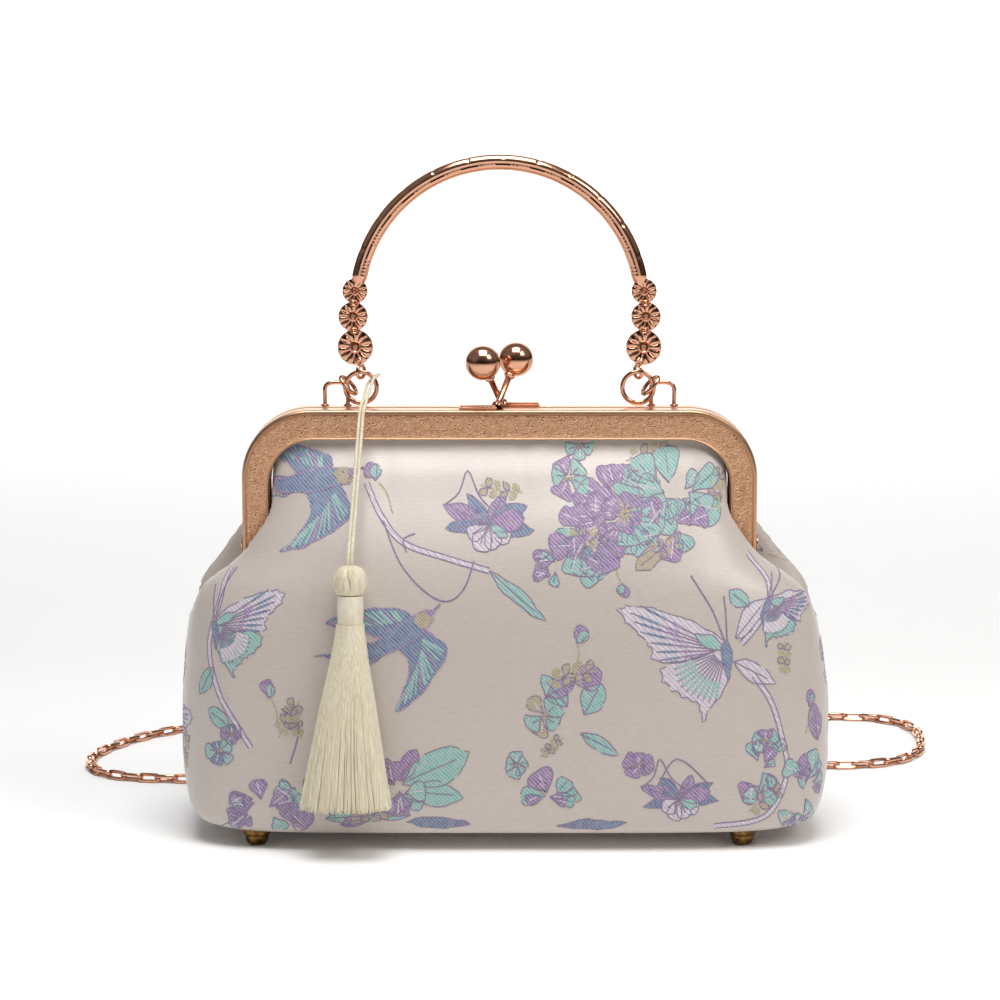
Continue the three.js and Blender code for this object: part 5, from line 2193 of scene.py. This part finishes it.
@dataclass
class Studio:
    """A white paper sweep, soft lamps and the camera at the photograph's angle."""

    distance: float = 1108.3
    height: float = 283.8
    pitch: float = 8.57
    lens: float = 114.7
    shift: float = 0.0005
    paper: float = 6.0
    air: float = 0.2
    air_front: float = 0.05
    key: float = 4.4
    top: float = 17.0
    fill: float = 0.25

    def camera(self) -> None:
        """Sets up the camera."""
        data = bpy.data.cameras.new("view_camera")
        data.lens = self.lens
        data.sensor_width = 36.0
        data.shift_x = self.shift
        data.clip_start = 0.01
        camera = bpy.data.objects.new("view_camera", data)
        bpy.context.scene.collection.objects.link(camera)
        camera.location = TO_ROW @ Vector((0, -self.distance, self.height))
        camera.rotation_euler = (math.radians(90 - self.pitch), 0, 0)
        bpy.context.scene.camera = camera

    def lamp(self, name: str, azimuth: float, elevation: float, reach: float, size: float, power: float,
             colour: str = "FFFFFF") -> None:
        """Hangs one soft lamp that faces the bag.

        Args:
            name: the lamp's name.
            azimuth: its bearing in degrees, 0 in front and positive to the right.
            elevation: its height above the floor in degrees.
            reach: its distance in metres.
            size: its side in metres.
            power: its power in watts.
            colour: its colour.
        """
        data = bpy.data.lights.new(name, "AREA")
        data.size = size
        data.energy = power
        data.color = linear(colour)[:3]
        lamp = bpy.data.objects.new(name, data)
        bpy.context.scene.collection.objects.link(lamp)
        turn, rise = math.radians(azimuth), math.radians(elevation)
        aim = TO_ROW @ Vector((0, 0, 90))
        lamp.location = aim + reach * Vector((math.sin(turn) * math.cos(rise), -math.cos(turn) * math.cos(rise),
                                              math.sin(rise)))
        lamp.rotation_euler = (aim - lamp.location).to_track_quat("-Z", "Y").to_euler()

    def wall_lamp(self) -> None:
        """Lights the paper behind the bag, so that it stays as pale as the floor."""
        data = bpy.data.lights.new("wall_lamp", "AREA")
        data.size = 3.0
        data.energy = 290
        lamp = bpy.data.objects.new("wall_lamp", data)
        bpy.context.scene.collection.objects.link(lamp)
        lamp.location = (0, 2.2, 3.4)
        lamp.rotation_euler = (math.radians(60), 0, 0)

    def sky(self) -> None:
        """Fills the room with pale light, darker low down and in front, for the metal to mirror."""
        world = bpy.data.worlds.new("studio_air")
        bpy.context.scene.world = world
        world.use_nodes = True
        tree = world.node_tree
        view = add_node(tree, "TexCoord")
        axes = add_node(tree, "SeparateXYZ", inputs={0: view.outputs["Generated"]})
        ramp = add_node(tree, "ValToRGB", inputs={0: axes.outputs[2]})
        stops = ramp.color_ramp.elements
        stops[0].position, stops[0].color = 0.0, linear("8C8378")
        stops[1].position, stops[1].color = 0.75, linear("FFFFFF")
        low = stops.new(0.12)
        low.color = linear("6E655C")
        rise = stops.new(0.3)
        rise.color = linear("E9E6E2")
        front = add_node(tree, "MapRange", inputs={0: axes.outputs[1], 1: -0.95, 2: -0.55,
                                                   3: self.air_front, 4: self.air})
        background = tree.nodes["Background"]
        tree.links.new(ramp.outputs[0], background.inputs[0])
        tree.links.new(front.outputs[0], background.inputs[1])

    def sweep(self, wardrobe: Wardrobe) -> None:
        """Lays the white paper floor, which curves up behind the bag.

        Args:
            wardrobe: the finishes.
        """
        profile = [Vector((0, -4.0, 0)), Vector((0, self.paper - 1.5, 0))]
        for step in range(1, 9):
            turn = math.pi / 2 * step / 8
            profile.append(Vector((0, self.paper - 1.5 + 1.5 * math.sin(turn), 1.5 - 1.5 * math.cos(turn))))
        profile.append(Vector((0, self.paper, 6.0)))
        bm = bmesh.new()
        verts = [bm.verts.new(point - Vector((self.paper, 0, 0))) for point in profile]
        edges = [bm.edges.new(pair) for pair in zip(verts, verts[1:])]
        grown = bmesh.ops.extrude_edge_only(bm, edges=edges)["geom"]
        moved_verts = [item for item in grown if isinstance(item, bmesh.types.BMVert)]
        bmesh.ops.translate(bm, vec=(2 * self.paper, 0, 0), verts=moved_verts)
        bmesh.ops.recalc_face_normals(bm, faces=bm.faces)
        if bm.faces[:][0].normal.z < 0:
            bmesh.ops.reverse_faces(bm, faces=bm.faces)
        mesh = bpy.data.meshes.new("paper_sweep")
        bm.to_mesh(mesh)
        bm.free()
        mesh.polygons.foreach_set("use_smooth", [True] * len(mesh.polygons))
        sweep = bpy.data.objects.new("paper_sweep", mesh)
        bpy.context.scene.collection.objects.link(sweep)
        mesh.materials.append(wardrobe.paper)

    def build(self, wardrobe: Wardrobe) -> None:
        """Lights the studio.

        Args:
            wardrobe: the finishes.
        """
        self.sky()
        self.sweep(wardrobe)
        self.lamp("key_lamp", 52, 42, 1.4, 0.5, self.key, "FFF8F2")
        self.lamp("top_lamp", 0, 76, 1.4, 0.9, self.top)
        self.lamp("fill_lamp", -62, 22, 1.8, 1.2, self.fill)
        self.wall_lamp()
        bpy.context.scene.view_settings.view_transform = "Standard"


def main() -> None:
    """Builds the purse piece by piece."""
    logging.basicConfig(level=logging.INFO, format="%(name)s: %(message)s")
    studio = Studio()
    studio.camera()
    wardrobe = Wardrobe()
    LOG.info("tassel: %d pieces", len(SilkTassel().build(wardrobe)))
    bag = BrocadeBag()
    bag.build(wardrobe)
    LOG.info("figure: %d pieces", len(WovenFigure(bag).build(wardrobe)))
    for part in (ClaspFrame(), KissLock(), HandleRigging(), ArchedHandle(), StudFeet(), ShoulderChain()):
        LOG.info("%s: %d pieces", type(part).__name__, len(part.build(wardrobe)))
    studio.build(wardrobe)


if __name__ == "__main__":
    main()
